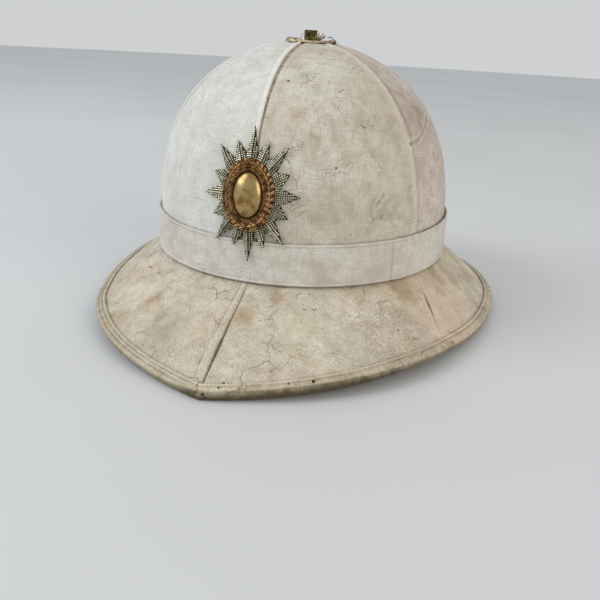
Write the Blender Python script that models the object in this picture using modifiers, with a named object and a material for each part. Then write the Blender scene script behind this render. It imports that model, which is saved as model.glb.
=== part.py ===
"""A cork sun helmet covered in white cloth, with a pointed front peak and a metal badge.

Run with: blender --background --python part.py, or from Blender's text editor.
Metres, +Z up. The front peak points along -Y, and the wearer's left is +X.
The helmet rests on its rim at z = 0, with the origin under the middle of its box.
"""

import math

import bmesh
import bpy
from mathutils import Vector

# Crown, measured over its cloth
CROWN_WIDTH = 0.1925
CROWN_LENGTH = 0.2285
CROWN_HEIGHT = 0.1315
CROWN_LEAN = 0.0127
CROWN_SHOULDER = 2.95
CROWN_ROUND = 2.0
FOOT_HEIGHT = 0.0375
FOOT_TILT = 0.0023

# Brim, from the crown's foot to the outside of its bound edge
FRONT_REACH = 0.0695
SIDE_REACH = 0.0385
BACK_REACH = 0.0505
RIM_RISE = 0.0059
BRIM_BULGE = 0.001
EDGE_TILT = math.radians(28)
REST_FLAT = math.radians(24)
WARP_LIFT = 0.0032
WARP_ANGLE = math.radians(-105)
WARP_SPREAD = math.radians(50)

# Walls and the gap that neighbours keep
CORK_WALL = 0.0034
CORK_EDGE_WALL = 0.0018
COVER_CLOTH = 0.001
BINDING_CLOTH = 0.001
BAND_CLOTH = 0.0013
LAYER_GAP = 0.0003
SEAM_GAP = 0.0004

# Edge binding
BINDING_OVER = 0.0073
BINDING_UNDER = 0.008
BINDING_CORNER = 0.0018

# Hatband, a straight strip of cloth round the crown's foot
BAND_HEIGHT_FRONT = 0.0255
BAND_HEIGHT_BACK = 0.030
BAND_FOOT_GAP = 0.0006

# Ventilator hole, its threaded collet and the torn cloth round it
COLLET_RADIUS = 0.0043
COLLET_BORE = 0.0028
COLLET_RISE = 0.0068
COLLET_TAIL = 0.0015
COLLET_CLEARANCE = 0.0008
FLANGE_RADIUS = 0.0125
FLANGE_THICKNESS = 0.0008
THREAD_DEPTH = 0.0004
THREAD_TURNS = 3
TORN_RADIUS = 0.0185
TORN_CURL = 0.0024

# Badge, a cut star in white metal with a gilt wreath and a plain boss
BADGE_HEIGHT = 0.0735
BADGE_WIDTH = 0.056
BADGE_CENTRE = 0.051
BADGE_SHIFT = -0.0012
BADGE_ASKEW = math.radians(2)
BADGE_PLATE = 0.0011
BADGE_RIDGE = 0.0016
BADGE_RAYS = 16
SHORT_RAY = 0.84
RAY_NOTCH = 0.62
BEND_ACROSS = 0.095
BEND_UP = 0.130
BEND_DOWN = 0.900
WREATH_HEIGHT = 0.040
WREATH_WIDTH = 0.031
WREATH_BREADTH = 0.0062
WREATH_RELIEF = 0.0026
WREATH_LEAVES = 24
LEAF_NOTCH = 0.002
LEAF_DIP = 0.001
WREATH_INNER_EDGE = 0.0013
WREATH_OUTER_EDGE = 0.0007
BOSS_HEIGHT = 0.0245
BOSS_WIDTH = 0.0165
BOSS_RELIEF = 0.0042
BOSS_EDGE = 0.0008
LUG_RADIUS = 0.0011
LUG_SPACING = 0.030
LUG_TAIL = 0.0015
LUG_CLEARANCE = 0.0004

# How finely the rounded forms are cut
STATIONS = 48
CROWN_LEVELS = 10
BRIM_LEVELS = 3
CORNER_STEPS = 3
TURNED_STEPS = 24
BADGE_RINGS = 4
BOSS_LEVELS = 4
PEG_SIDES = 12

# The cover is sewn from gores and brim pieces that meet at these seams, in degrees from the front
CROWN_SEAMS = (0, 60, 120, 180, 240, 300)
BRIM_SEAMS = (0, 63, 180, 297)
GORE_NAMES = ("front_left", "side_left", "back_left", "back_right", "side_right", "front_right")
BRIM_NAMES = ("front_left", "back_left", "back_right", "front_right")

# Where a line that starts at the crown's foot meets the rim: degrees round the foot, degrees round the rim
BRIM_LINES = (
    ("foot", "rim"),
    (0, 0),
    (60, 51),
    (120, 120),
    (180, 180),
)

# The rim from the front to the back: degrees, shares of the extra front and back reach, share of the rise
RIM = (
    ("angle", "front", "back", "rise"),
    (0, 1.00, 0.00, 0.00),
    (10, 0.77, 0.00, 0.26),
    (20, 0.61, 0.00, 0.64),
    (40, 0.28, 0.00, 1.00),
    (60, 0.04, 0.00, 0.68),
    (80, 0.00, 0.00, 0.50),
    (100, 0.00, 0.18, 0.56),
    (120, 0.00, 0.34, 0.60),
    (140, 0.00, 0.58, 0.36),
    (158, 0.00, 0.78, 0.00),
    (180, 0.00, 1.00, 0.00),
)

# The torn cloth, clockwise from the front: reach as a share of its radius, curl as a share of its curl
TORN_EDGE = (
    ("reach", "curl"),
    (0.90, 0.15),
    (0.82, 0.40),
    (0.97, 0.10),
    (0.85, 0.35),
    (0.94, 0.20),
    (0.78, 0.80),
    (0.88, 0.30),
    (1.00, 0.05),
    (0.86, 0.45),
    (0.79, 1.00),
    (0.93, 0.35),
    (0.76, 0.60),
    (0.98, 0.10),
    (0.90, 0.30),
    (0.80, 0.80),
    (0.95, 0.25),
)

EDGE_STACK = CORK_EDGE_WALL + COVER_CLOTH + 2 * BINDING_CLOTH + 3 * LAYER_GAP
EDGE_HALF = EDGE_STACK / 2
CORK_INSET = COVER_CLOTH + LAYER_GAP
CORK_HOLE_RADIUS = COLLET_RADIUS + COLLET_CLEARANCE
COVER_HOLE_RADIUS = FLANGE_RADIUS + COLLET_CLEARANCE
CENTRE_SHIFT = (FRONT_REACH - BACK_REACH) / 2
UP = Vector((0, 0, 1))


def column(table, name):
    """The values of one named column of a table."""
    place = table[0].index(name)
    return [row[place] for row in table[1:]]


def through(places, values, at, flat_end=False):
    """A smooth curve through a table's values that never swings past them."""
    steps = [b - a for a, b in zip(places, places[1:])]
    slopes = [(b - a) / step for a, b, step in zip(values, values[1:], steps)]
    tangents = [slopes[0]]
    for before, after in zip(slopes, slopes[1:]):
        tangents.append(0.0 if before * after <= 0 else 2 * before * after / (before + after))
    tangents.append(0.0 if flat_end else slopes[-1])
    k = max(i for i in range(len(steps)) if places[i] <= at or i == 0)
    t = min(1.0, (at - places[k]) / steps[k])
    return (
        (1 + 2 * t) * (1 - t) ** 2 * values[k]
        + t * (1 - t) ** 2 * steps[k] * tangents[k]
        + t * t * (3 - 2 * t) * values[k + 1]
        - t * t * (1 - t) * steps[k] * tangents[k + 1]
    )


def rim_angle(turn):
    """The direction, seen from the crown's axis, in which a brim line reaches the rim."""
    along = through(column(BRIM_LINES, "foot"), column(BRIM_LINES, "rim"), math.degrees(abs(turn)))
    return math.copysign(math.radians(along), turn)


def foot_radius(angle, inset=0.0):
    """The crown foot's radius in a direction seen from the axis."""
    across = math.sin(angle) / (CROWN_WIDTH / 2 - inset)
    along = math.cos(angle) / (CROWN_LENGTH / 2 - inset)
    return 1 / math.hypot(across, along)


def rim_value(angle, name):
    return through(column(RIM, "angle"), column(RIM, name), math.degrees(abs(angle)), flat_end=True)


def rim_plan(angle):
    """The outside of the bound edge, seen from above."""
    reach = (
        SIDE_REACH
        + (FRONT_REACH - SIDE_REACH) * rim_value(angle, "front")
        + (BACK_REACH - SIDE_REACH) * rim_value(angle, "back")
    )
    radius = foot_radius(angle) + reach
    return Vector((radius * math.sin(angle), CENTRE_SHIFT - radius * math.cos(angle), 0))


def rim_outward(angle):
    """The level direction that points straight out of the rim."""
    if abs(math.sin(angle)) < 1e-6:
        return Vector((0, -math.cos(angle), 0))
    step = math.radians(1.5)
    along = rim_plan(angle + step) - rim_plan(angle - step)
    return along.normalized().cross(UP)


def rim_height(angle):
    """How far the bound edge stands above the surface that the helmet rests on."""
    away = abs(angle - WARP_ANGLE) / WARP_SPREAD
    warp = WARP_LIFT * math.cos(away * math.pi / 2) ** 2 if away < 1 else 0.0
    return RIM_RISE * rim_value(angle, "rise") + warp


def edge_point(angle, outward, above):
    """A point of the edge's own section: outward and above run along and across the tilted edge."""
    flat = rim_outward(angle)
    reach = flat * math.cos(EDGE_TILT) - UP * math.sin(EDGE_TILT)
    normal = flat * math.sin(EDGE_TILT) + UP * math.cos(EDGE_TILT)
    out, up = lowest_corner()
    base = rim_plan(angle) - flat * out + UP * (rim_height(angle) - up)
    return base + reach * outward + normal * above


def binding_outline(inset=0.0):
    """The binding's line in its section, from over the brim, round the edge, to under it.

    The lower corner has a level flat, on which the helmet rests.
    """
    down = -math.pi / 2 + EDGE_TILT
    upper = [math.pi / 2 * (1 - k / CORNER_STEPS) for k in range(CORNER_STEPS + 1)]
    lower = [0.0, down + REST_FLAT, down - REST_FLAT, -math.pi / 2]
    radius, middle = BINDING_CORNER - inset, EDGE_HALF - BINDING_CORNER
    points = [(-BINDING_OVER, EDGE_HALF - inset)]
    points += [(radius * math.cos(turn) - BINDING_CORNER, middle + radius * math.sin(turn)) for turn in upper]
    points += [(radius * math.cos(turn) - BINDING_CORNER, radius * math.sin(turn) - middle) for turn in lower]
    points.append((-BINDING_UNDER, inset - EDGE_HALF))
    return points


def lowest_corner():
    """How far out and how high the edge section's widest and lowest points lie from its own origin."""
    outline = binding_outline()
    outs = [u * math.cos(EDGE_TILT) + n * math.sin(EDGE_TILT) for u, n in outline]
    ups = [n * math.cos(EDGE_TILT) - u * math.sin(EDGE_TILT) for u, n in outline]
    return max(outs), min(ups)


def foot_height(turn):
    return FOOT_HEIGHT + FOOT_TILT * math.cos(turn)


def crown_point(turn, climb, inset=0.0):
    """A point of the crown. climb runs from 0 at the foot to a quarter turn at the top."""
    narrow = math.cos(climb) ** (2 / CROWN_ROUND)
    rise = math.sin(climb) ** (2 / CROWN_SHOULDER)
    x = (CROWN_WIDTH / 2 - inset) * math.sin(turn) * narrow
    y = -(CROWN_LENGTH / 2 - inset) * math.cos(turn) * narrow - CROWN_LEAN * rise**2
    z = foot_height(turn) + (FOOT_HEIGHT - foot_height(turn)) * rise + (CROWN_HEIGHT - inset) * rise
    return Vector((x, y + CENTRE_SHIFT, z))


def climb_to_radius(radius):
    """The climb at which the crown has narrowed to this radius across its width."""
    return math.acos((radius / (CROWN_WIDTH / 2)) ** (CROWN_ROUND / 2))


def climb_to_height(height):
    """The climb at this height above the crown's foot."""
    return math.asin((height / CROWN_HEIGHT) ** (CROWN_SHOULDER / 2))


def brim_point(turn, share, depth, inset):
    """A point of the brim at a depth below its cover. share runs from 0 at the foot to 1 at the binding."""
    foot = crown_point(turn, 0.0, inset) - UP * depth / math.cos(EDGE_TILT)
    knee = edge_point(rim_angle(turn), -BINDING_OVER, EDGE_HALF - BINDING_CLOTH - LAYER_GAP - depth)
    return foot.lerp(knee, share) + UP * BRIM_BULGE * 4 * share * (1 - share)


def brim_end(turn, depth):
    """Where a brim layer ends inside the binding, before the fold starts to turn."""
    wall = BINDING_CLOTH + LAYER_GAP
    return edge_point(rim_angle(turn), -max(BINDING_CORNER, wall), EDGE_HALF - wall - depth)


def turns(first, last, gap=0.0):
    """The stations from one seam to another, in radians, with half the seam's gap left at each end."""
    half_gap = math.degrees(gap / 2 / (CROWN_WIDTH / 2))
    between = [k * 360 / STATIONS for k in range(STATIONS) if first < k * 360 / STATIONS < last]
    marks = [first + half_gap] + between + [last - half_gap]
    return [math.radians((mark + 180) % 360 - 180) for mark in marks]


def all_round():
    return [math.radians(-180 + k * 360 / STATIONS) for k in range(STATIONS)]


def colour(code):
    """A material colour in linear light, from an sRGB hex code."""
    parts = [int(code[i : i + 2], 16) / 255 for i in (0, 2, 4)]
    return [p / 12.92 if p <= 0.04045 else ((p + 0.055) / 1.055) ** 2.4 for p in parts] + [1.0]


def finish(name, code, roughness, metallic=0.0):
    made = bpy.data.materials.new(name)
    made.use_nodes = True
    shader = made.node_tree.nodes["Principled BSDF"]
    shader.inputs["Base Color"].default_value = colour(code)
    shader.inputs["Roughness"].default_value = roughness
    shader.inputs["Metallic"].default_value = metallic
    return made


def new_collection(name):
    made = bpy.data.collections.new(name)
    bpy.context.scene.collection.children.link(made)
    return made


def add_object(name, mesh, material, collection):
    made = bpy.data.objects.new(name, mesh)
    if material:
        mesh.materials.append(material)
    collection.objects.link(made)
    return made


def loft(name, rows, around=False, along=False, middles=()):
    """A mesh through rows of points, one row for each section.

    around joins each row's last point to its first, and along joins the last row to the first.
    middles closes the first and the last row with a fan round each of two points.
    """
    build = bmesh.new()
    grid = [[build.verts.new(point) for point in row] for row in rows]
    across = len(grid[0])
    for i in range(len(grid) if along else len(grid) - 1):
        for j in range(across if around else across - 1):
            near, far = grid[i], grid[(i + 1) % len(grid)]
            build.faces.new((near[j], near[(j + 1) % across], far[(j + 1) % across], far[j]))
    for middle, ring in zip(middles, (grid[0], grid[-1])):
        hub = build.verts.new(middle)
        for j in range(across):
            build.faces.new((ring[j], ring[(j + 1) % across], hub))
    if middles or (around and along):
        bmesh.ops.recalc_face_normals(build, faces=build.faces)
    mesh = bpy.data.meshes.new(name)
    build.to_mesh(mesh)
    build.free()
    return mesh


def thicken(part, wall, share_group=""):
    """Gives an open surface its wall, on the side away from its faces."""
    shell = part.modifiers.new("wall", "SOLIDIFY")
    shell.thickness = wall
    shell.vertex_group = share_group
    shell.offset = -1
    shell.use_even_offset = True


def shade(part, sharp=math.radians(35)):
    part.data.shade_smooth()
    part.data.set_sharp_from_angle(angle=sharp)


def cut(part, cutter):
    hole = part.modifiers.new(cutter.name, "BOOLEAN")
    hole.operation = "DIFFERENCE"
    hole.object = cutter


def crown_climbs(hole_radius):
    top = climb_to_radius(hole_radius)
    return [top * k / CROWN_LEVELS for k in range(CROWN_LEVELS + 1)]


def brim_shares():
    return [k / BRIM_LEVELS for k in range(BRIM_LEVELS + 1)]


def make_cork_body(material, collection):
    """The moulded cork body: dome and brim in one hollow shell, open below and at the top.

    Its wall thins evenly from the crown's foot to the brim's edge.
    """
    around = all_round()
    rows = [[brim_end(turn, CORK_INSET) for turn in around]]
    walls = [CORK_EDGE_WALL]
    for share in reversed(brim_shares()):
        rows.append([brim_point(turn, share, CORK_INSET, CORK_INSET) for turn in around])
        walls.append(CORK_WALL + (CORK_EDGE_WALL - CORK_WALL) * share)
    for climb in crown_climbs(CORK_HOLE_RADIUS)[1:]:
        rows.append([crown_point(turn, climb, CORK_INSET) for turn in around])
        walls.append(CORK_WALL)
    part = add_object("cork_body", loft("cork_body", rows, around=True), material, collection)
    group = part.vertex_groups.new(name="wall_share")
    for k, wall in enumerate(walls):
        row = range(k * len(around), (k + 1) * len(around))
        group.add(list(row), wall / CORK_WALL, "REPLACE")
    thicken(part, CORK_WALL, group.name)
    shade(part)
    return part


def make_gore(name, first, last, material, collection):
    """One of the tapered cloth panels that cover the crown, from the band to the ventilator hole."""
    climbs = [climb_to_height(LAYER_GAP + SEAM_GAP)] + crown_climbs(COVER_HOLE_RADIUS)[1:]
    columns = turns(first, last, SEAM_GAP)
    rows = [[crown_point(turn, climb) for turn in columns] for climb in climbs]
    part = add_object(name, loft(name, rows), material, collection)
    thicken(part, COVER_CLOTH)
    shade(part)
    return part


def make_brim_cover(name, first, last, material, collection):
    """A cloth piece on top of the brim, from under the crown's panels to inside the binding."""
    columns = turns(first, last, SEAM_GAP)
    rows = [[brim_end(turn, 0.0) for turn in columns]]
    for share in reversed(brim_shares()):
        rows.append([brim_point(turn, share, 0.0, 0.0) for turn in columns])
    part = add_object(name, loft(name, rows), material, collection)
    thicken(part, COVER_CLOTH)
    shade(part)
    return part


def make_binding(material, collection):
    """The strip of cloth folded round the brim's edge, an open C in section."""
    section = binding_outline() + binding_outline(BINDING_CLOTH)[::-1]
    rows = [[edge_point(rim_angle(turn), u, n) for u, n in section] for turn in all_round()]
    mesh = loft("edge_binding", rows, around=True, along=True)
    part = add_object("edge_binding", mesh, material, collection)
    shade(part)
    return part


def band_height(turn):
    middle = (BAND_HEIGHT_FRONT + BAND_HEIGHT_BACK) / 2
    return middle + (BAND_HEIGHT_FRONT - BAND_HEIGHT_BACK) / 2 * math.cos(turn)


def make_hatband(material, collection):
    """The straight band of cloth that covers the joint of crown and brim."""
    inner, outer = -LAYER_GAP, -LAYER_GAP - BAND_CLOTH
    rows = []
    for turn in all_round():
        low, high = climb_to_height(BAND_FOOT_GAP), climb_to_height(band_height(turn))
        climbs = [low, (low + high) / 2, high]
        section = [crown_point(turn, climb, outer) for climb in climbs]
        section += [crown_point(turn, climb, inner) for climb in reversed(climbs)]
        rows.append(section)
    part = add_object("hatband", loft("hatband", rows, around=True, along=True), material, collection)
    shade(part)
    return part


def crown_top():
    """The middle of the crown's top."""
    return crown_point(0.0, math.pi / 2)


def flange_seat():
    """The height of the flange's underside, from the crown's top: just clear of the cork."""
    edge = crown_point(0.0, climb_to_radius(CORK_HOLE_RADIUS), CORK_INSET)
    return edge.z - crown_top().z + LAYER_GAP


def collet_profile():
    """The collet's turned outline at +X, clockwise from its rim: threaded tube, flange and tail."""
    seat = flange_seat()
    flange_top = seat + FLANGE_THICKNESS
    tail = seat - CORK_WALL - COLLET_TAIL
    root = COLLET_RADIUS - THREAD_DEPTH
    tube = [(COLLET_BORE, COLLET_RISE), (root, COLLET_RISE)]
    pitch = (COLLET_RISE - flange_top) / (THREAD_TURNS + 1)
    for k in range(THREAD_TURNS):
        crest = COLLET_RISE - pitch * (k + 0.5)
        tube += [(COLLET_RADIUS, crest), (root, crest - pitch / 2)]
    return tube + [
        (root, flange_top),
        (FLANGE_RADIUS, flange_top),
        (FLANGE_RADIUS, seat),
        (COLLET_RADIUS, seat),
        (COLLET_RADIUS, tail),
        (COLLET_BORE, tail),
    ]


def make_collet(material, collection):
    """The brass collet that held the lost ventilator: a threaded tube on a thin flange."""
    profile = collet_profile()
    mesh = bpy.data.meshes.new("ventilator_collet")
    edges = [(k, (k + 1) % len(profile)) for k in range(len(profile))]
    mesh.from_pydata([(r, 0, z) for r, z in profile], edges, [])
    part = add_object("ventilator_collet", mesh, material, collection)
    spin = part.modifiers.new("turned", "SCREW")
    spin.axis = "Z"
    spin.steps = TURNED_STEPS
    spin.render_steps = TURNED_STEPS
    spin.use_merge_vertices = True
    spin.merge_threshold = 0.00005
    part.location = crown_top()
    return part


def make_torn_cloth(material, collection):
    """What is left of the cloth round the hole: a ragged ring that lies on the flange and the panels."""
    reaches, curls = column(TORN_EDGE, "reach"), column(TORN_EDGE, "curl")
    hole, flange = COLLET_RADIUS + LAYER_GAP, FLANGE_RADIUS + LAYER_GAP
    over_flange = crown_top() + UP * (flange_seat() + FLANGE_THICKNESS + LAYER_GAP)
    rows = []
    for k, (reach, curl) in enumerate(zip(reaches, curls)):
        turn = 2 * math.pi * k / len(reaches)
        outward = Vector((math.sin(turn), -math.cos(turn), 0))
        outer, lift = TORN_RADIUS * reach, TORN_CURL * curl
        middle = (flange + outer) / 2
        lower = [
            over_flange + outward * hole,
            over_flange + outward * flange,
            crown_point(turn, climb_to_radius(middle)) + UP * (LAYER_GAP + lift / 4),
            crown_point(turn, climb_to_radius(outer)) + UP * (LAYER_GAP + lift),
        ]
        rows.append([point + UP * COVER_CLOTH for point in lower] + lower[::-1])
    mesh = loft("torn_cloth", rows, around=True, along=True)
    part = add_object("torn_cloth", mesh, material, collection)
    shade(part)
    return part


def badge_frame():
    """The badge's centre on the crown, its direction up the crown and its outward direction."""
    climb = climb_to_height(BADGE_CENTRE)
    step = math.radians(1)
    centre = crown_point(0.0, climb)
    up = (crown_point(0.0, climb + step) - crown_point(0.0, climb - step)).normalized()
    return centre, up, Vector((1, 0, 0)).cross(up)


def badge_point(across, up, proud):
    """A point of the badge, which sits slightly askew, on a plate that is bent to follow the crown."""
    centre, rise, outward = badge_frame()
    across, up = (
        across * math.cos(BADGE_ASKEW) - up * math.sin(BADGE_ASKEW) + BADGE_SHIFT,
        across * math.sin(BADGE_ASKEW) + up * math.cos(BADGE_ASKEW),
    )
    bend = across**2 / (2 * BEND_ACROSS) + up**2 / (2 * (BEND_UP if up > 0 else BEND_DOWN))
    return centre + Vector((across, 0, 0)) + rise * up + outward * (LAYER_GAP + proud - bend)


def oval(angle, width, height):
    """A point of an upright oval, clockwise from its top."""
    return width / 2 * math.sin(angle), height / 2 * math.cos(angle)


def make_star(material, collection, cutters):
    """The star plate: cut rays with a ridge along each, and two plain lugs behind."""
    outline, ridge = [], []
    for k in range(BADGE_RAYS):
        tip = 2 * math.pi * k / BADGE_RAYS
        length = SHORT_RAY if k % 2 else 1.0
        across, up = oval(tip, BADGE_WIDTH * length, BADGE_HEIGHT * length)
        outline.append((across, up))
        ridge.append((across * RAY_NOTCH, up * RAY_NOTCH, BADGE_PLATE + BADGE_RIDGE))
        notch = tip + math.pi / BADGE_RAYS
        across, up = oval(notch, BADGE_WIDTH * RAY_NOTCH, BADGE_HEIGHT * RAY_NOTCH)
        outline.append((across, up))
        ridge.append((across * RAY_NOTCH, up * RAY_NOTCH, BADGE_PLATE))
    shares = [(k + 1) / BADGE_RINGS for k in range(BADGE_RINGS)]
    rows = [[badge_point(a * share, u * share, 0.0) for a, u in outline] for share in shares]
    rows.append([badge_point(a, u, BADGE_PLATE / 2) for a, u in outline])
    rows.append([badge_point(a, u, proud) for a, u, proud in ridge])
    middles = (badge_point(0, 0, 0.0), badge_point(0, 0, BADGE_PLATE + BADGE_RIDGE))
    mesh = loft("badge_star", rows, around=True, middles=middles)
    part = add_object("badge_star", mesh, material, collection)
    for k, side in enumerate((1, -1)):
        join = part.modifiers.new(f"lug_{k}", "BOOLEAN")
        join.operation = "UNION"
        join.object = peg(f"lug_{k}", side * LUG_SPACING / 2, LUG_RADIUS, lug_length(), cutters)
    return part


def lug_length():
    """From the middle of the star plate to a little past the inside of the cork."""
    return BADGE_PLATE / 2 + 2 * LAYER_GAP + COVER_CLOTH + CORK_WALL + LUG_TAIL


def peg(name, up, radius, length, cutters):
    """A round peg through the crown behind the badge. It starts inside the star plate."""
    _, _, outward = badge_frame()
    start = badge_point(0, up, BADGE_PLATE / 2)
    build = bmesh.new()
    sizes = {"radius1": radius, "radius2": radius, "depth": length}
    bmesh.ops.create_cone(build, cap_ends=True, segments=PEG_SIDES, **sizes)
    mesh = bpy.data.meshes.new(name)
    build.to_mesh(mesh)
    build.free()
    made = add_object(name, mesh, None, cutters)
    made.rotation_mode = "QUATERNION"
    made.rotation_quaternion = outward.to_track_quat("Z", "Y")
    made.location = start - outward * length / 2
    made.hide_render = True
    made.display_type = "WIRE"
    return made


def make_wreath(material, collection):
    """The gilt oval wreath: a ring whose leaves swell and point outward all round."""
    base = BADGE_PLATE + BADGE_RIDGE + LAYER_GAP
    rows = []
    for k in range(2 * WREATH_LEAVES):
        angle = math.pi * k / WREATH_LEAVES
        notch = 0 if k % 2 else LEAF_NOTCH
        top = base + WREATH_RELIEF - (0 if k % 2 else LEAF_DIP)
        inner = oval(angle, WREATH_WIDTH - 2 * WREATH_BREADTH, WREATH_HEIGHT - 2 * WREATH_BREADTH)
        middle = oval(angle, WREATH_WIDTH - WREATH_BREADTH, WREATH_HEIGHT - WREATH_BREADTH)
        outer = oval(angle, WREATH_WIDTH - notch, WREATH_HEIGHT - notch)
        rows.append(
            [
                badge_point(*inner, base),
                badge_point(*inner, base + WREATH_INNER_EDGE),
                badge_point(*middle, top),
                badge_point(*outer, base + WREATH_OUTER_EDGE),
                badge_point(*outer, base),
            ]
        )
    mesh = loft("badge_wreath", rows, around=True, along=True)
    return add_object("badge_wreath", mesh, material, collection)


def dome_level(k, base):
    """The size and height of one ring of the boss's dome, which stands on a short upright edge."""
    climb = math.pi / 2 * k / BOSS_LEVELS
    return math.cos(climb), base + BOSS_EDGE + (BOSS_RELIEF - BOSS_EDGE) * math.sin(climb)


def make_boss(material, collection):
    """The plain domed oval in the middle of the badge."""
    base = BADGE_PLATE + BADGE_RIDGE + LAYER_GAP
    rows = []
    angles = [2 * math.pi * k / TURNED_STEPS for k in range(TURNED_STEPS)]
    for size, proud in [(1.0, base)] + [dome_level(k, base) for k in range(BOSS_LEVELS)]:
        ring = [oval(angle, BOSS_WIDTH * size, BOSS_HEIGHT * size) for angle in angles]
        rows.append([badge_point(*point, proud) for point in ring])
    middles = (badge_point(0, 0, base), badge_point(0, 0, base + BOSS_RELIEF))
    mesh = loft("badge_boss", rows, around=True, middles=middles)
    return add_object("badge_boss", mesh, material, collection)


def main():
    for old in list(bpy.data.objects):
        bpy.data.objects.remove(old)
    helmet = new_collection("sun_helmet")
    cutters = new_collection("cutters")
    cork = finish("lined_cork", "CFC6B4", 0.9)
    cloth = finish("whitened_cloth", "DEDBD1", 0.85)
    stained = finish("stained_cloth", "D3C9B6", 0.88)
    bound = finish("binding_cloth", "CDC3AF", 0.85)
    brass = finish("dull_brass", "7D6A3C", 0.5, 0.9)
    frayed = finish("torn_cloth", "C7AE88", 0.95)
    white_metal = finish("white_metal", "B9BBAF", 0.35, 1.0)
    gilt = finish("gilding_metal", "A9733C", 0.35, 1.0)

    body = make_cork_body(cork, helmet)
    seams = list(CROWN_SEAMS) + [360]
    gores = [
        make_gore(f"crown_panel_{name}", first, last, cloth, helmet)
        for name, first, last in zip(GORE_NAMES, seams, seams[1:])
    ]
    seams = list(BRIM_SEAMS) + [360]
    for name, first, last in zip(BRIM_NAMES, seams, seams[1:]):
        make_brim_cover(f"brim_cover_{name}", first, last, stained, helmet)
    make_binding(bound, helmet)
    make_hatband(cloth, helmet)
    make_collet(brass, helmet)
    make_torn_cloth(frayed, helmet)
    make_star(white_metal, helmet, cutters)
    make_wreath(gilt, helmet)
    make_boss(gilt, helmet)
    hole_radius = LUG_RADIUS + LUG_CLEARANCE
    for k, side in enumerate((1, -1)):
        hole = peg(f"lug_hole_{k}", side * LUG_SPACING / 2, hole_radius, 2 * lug_length(), cutters)
        for part in (body, gores[0], gores[-1]):
            cut(part, hole)


main()
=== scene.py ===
# %% [markdown]
# # A cork sun helmet in whitened cloth
# The real helmet is moulded cork, covered in cotton cloth that was whitened again and again with
# pipe clay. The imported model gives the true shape, so every piece here is built on the same
# formulas, only finer, with seams, folds, stitches and wear. Everything is in metres.

# %% Load the frame
import math

import bpy
import numpy as np
from mathutils import Matrix, Vector, noise


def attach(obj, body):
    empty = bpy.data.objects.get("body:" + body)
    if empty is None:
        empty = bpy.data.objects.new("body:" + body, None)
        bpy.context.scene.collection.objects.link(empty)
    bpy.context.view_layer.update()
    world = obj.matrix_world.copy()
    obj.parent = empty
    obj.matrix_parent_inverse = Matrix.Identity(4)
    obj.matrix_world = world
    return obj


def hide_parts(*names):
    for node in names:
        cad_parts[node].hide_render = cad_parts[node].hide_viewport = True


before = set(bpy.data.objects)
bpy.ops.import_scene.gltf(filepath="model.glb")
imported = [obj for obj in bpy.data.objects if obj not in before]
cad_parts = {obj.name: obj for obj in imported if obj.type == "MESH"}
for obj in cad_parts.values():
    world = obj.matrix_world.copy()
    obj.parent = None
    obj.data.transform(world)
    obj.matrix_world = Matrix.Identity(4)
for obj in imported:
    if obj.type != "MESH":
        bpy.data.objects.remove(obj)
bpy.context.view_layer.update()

MM = 0.001
print("nodes in the frame:", len(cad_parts))

# %% [markdown]
# The helmet's sizes come first: the crown is a stretched dome, and the brim is a slope from the
# crown's foot to a bound edge. A table of measured points could hold the rim, but a few named
# values with a smooth curve through them give the same shape at any fineness.

# %% Sizes of the crown and the brim
CROWN_WIDTH, CROWN_LENGTH, CROWN_HEIGHT = 0.1925, 0.2285, 0.1315
CROWN_LEAN, CROWN_SHOULDER, CROWN_ROUND = 0.0127, 2.95, 2.0
FOOT_HEIGHT, FOOT_TILT = 0.0375, 0.0023
FRONT_REACH, SIDE_REACH, BACK_REACH = 0.0695, 0.0385, 0.0505
RIM_RISE, BRIM_BULGE = 0.0059, 0.001
EDGE_TILT, REST_FLAT = math.radians(28), math.radians(24)
WARP_LIFT, WARP_ANGLE, WARP_SPREAD = 0.0032, math.radians(-105), math.radians(50)
CORK_WALL, CORK_EDGE_WALL = 0.0034, 0.0018
COVER_CLOTH = BINDING_CLOTH = 0.001
BAND_CLOTH, LAYER_GAP = 0.0013, 0.0003
BINDING_OVER, BINDING_UNDER, BINDING_CORNER = 0.0073, 0.008, 0.0018
BAND_HEIGHT_FRONT, BAND_HEIGHT_BACK, BAND_FOOT_GAP = 0.0255, 0.030, 0.0006
CENTRE_SHIFT = (FRONT_REACH - BACK_REACH) / 2
CORK_INSET = COVER_CLOTH + LAYER_GAP
EDGE_HALF = (CORK_EDGE_WALL + COVER_CLOTH + 2 * BINDING_CLOTH + 3 * LAYER_GAP) / 2
BRIM_LINES = {"foot": (0, 60, 120, 180), "rim": (0, 51, 120, 180)}
RIM = {
    "angle": (0, 10, 20, 40, 60, 80, 100, 120, 140, 158, 180),
    "front": (1.00, 0.77, 0.61, 0.28, 0.04, 0.00, 0.00, 0.00, 0.00, 0.00, 0.00),
    "back": (0.00, 0.00, 0.00, 0.00, 0.00, 0.00, 0.18, 0.34, 0.58, 0.78, 1.00),
    "rise": (0.00, 0.26, 0.64, 1.00, 0.68, 0.50, 0.56, 0.60, 0.36, 0.00, 0.00),
}


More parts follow.
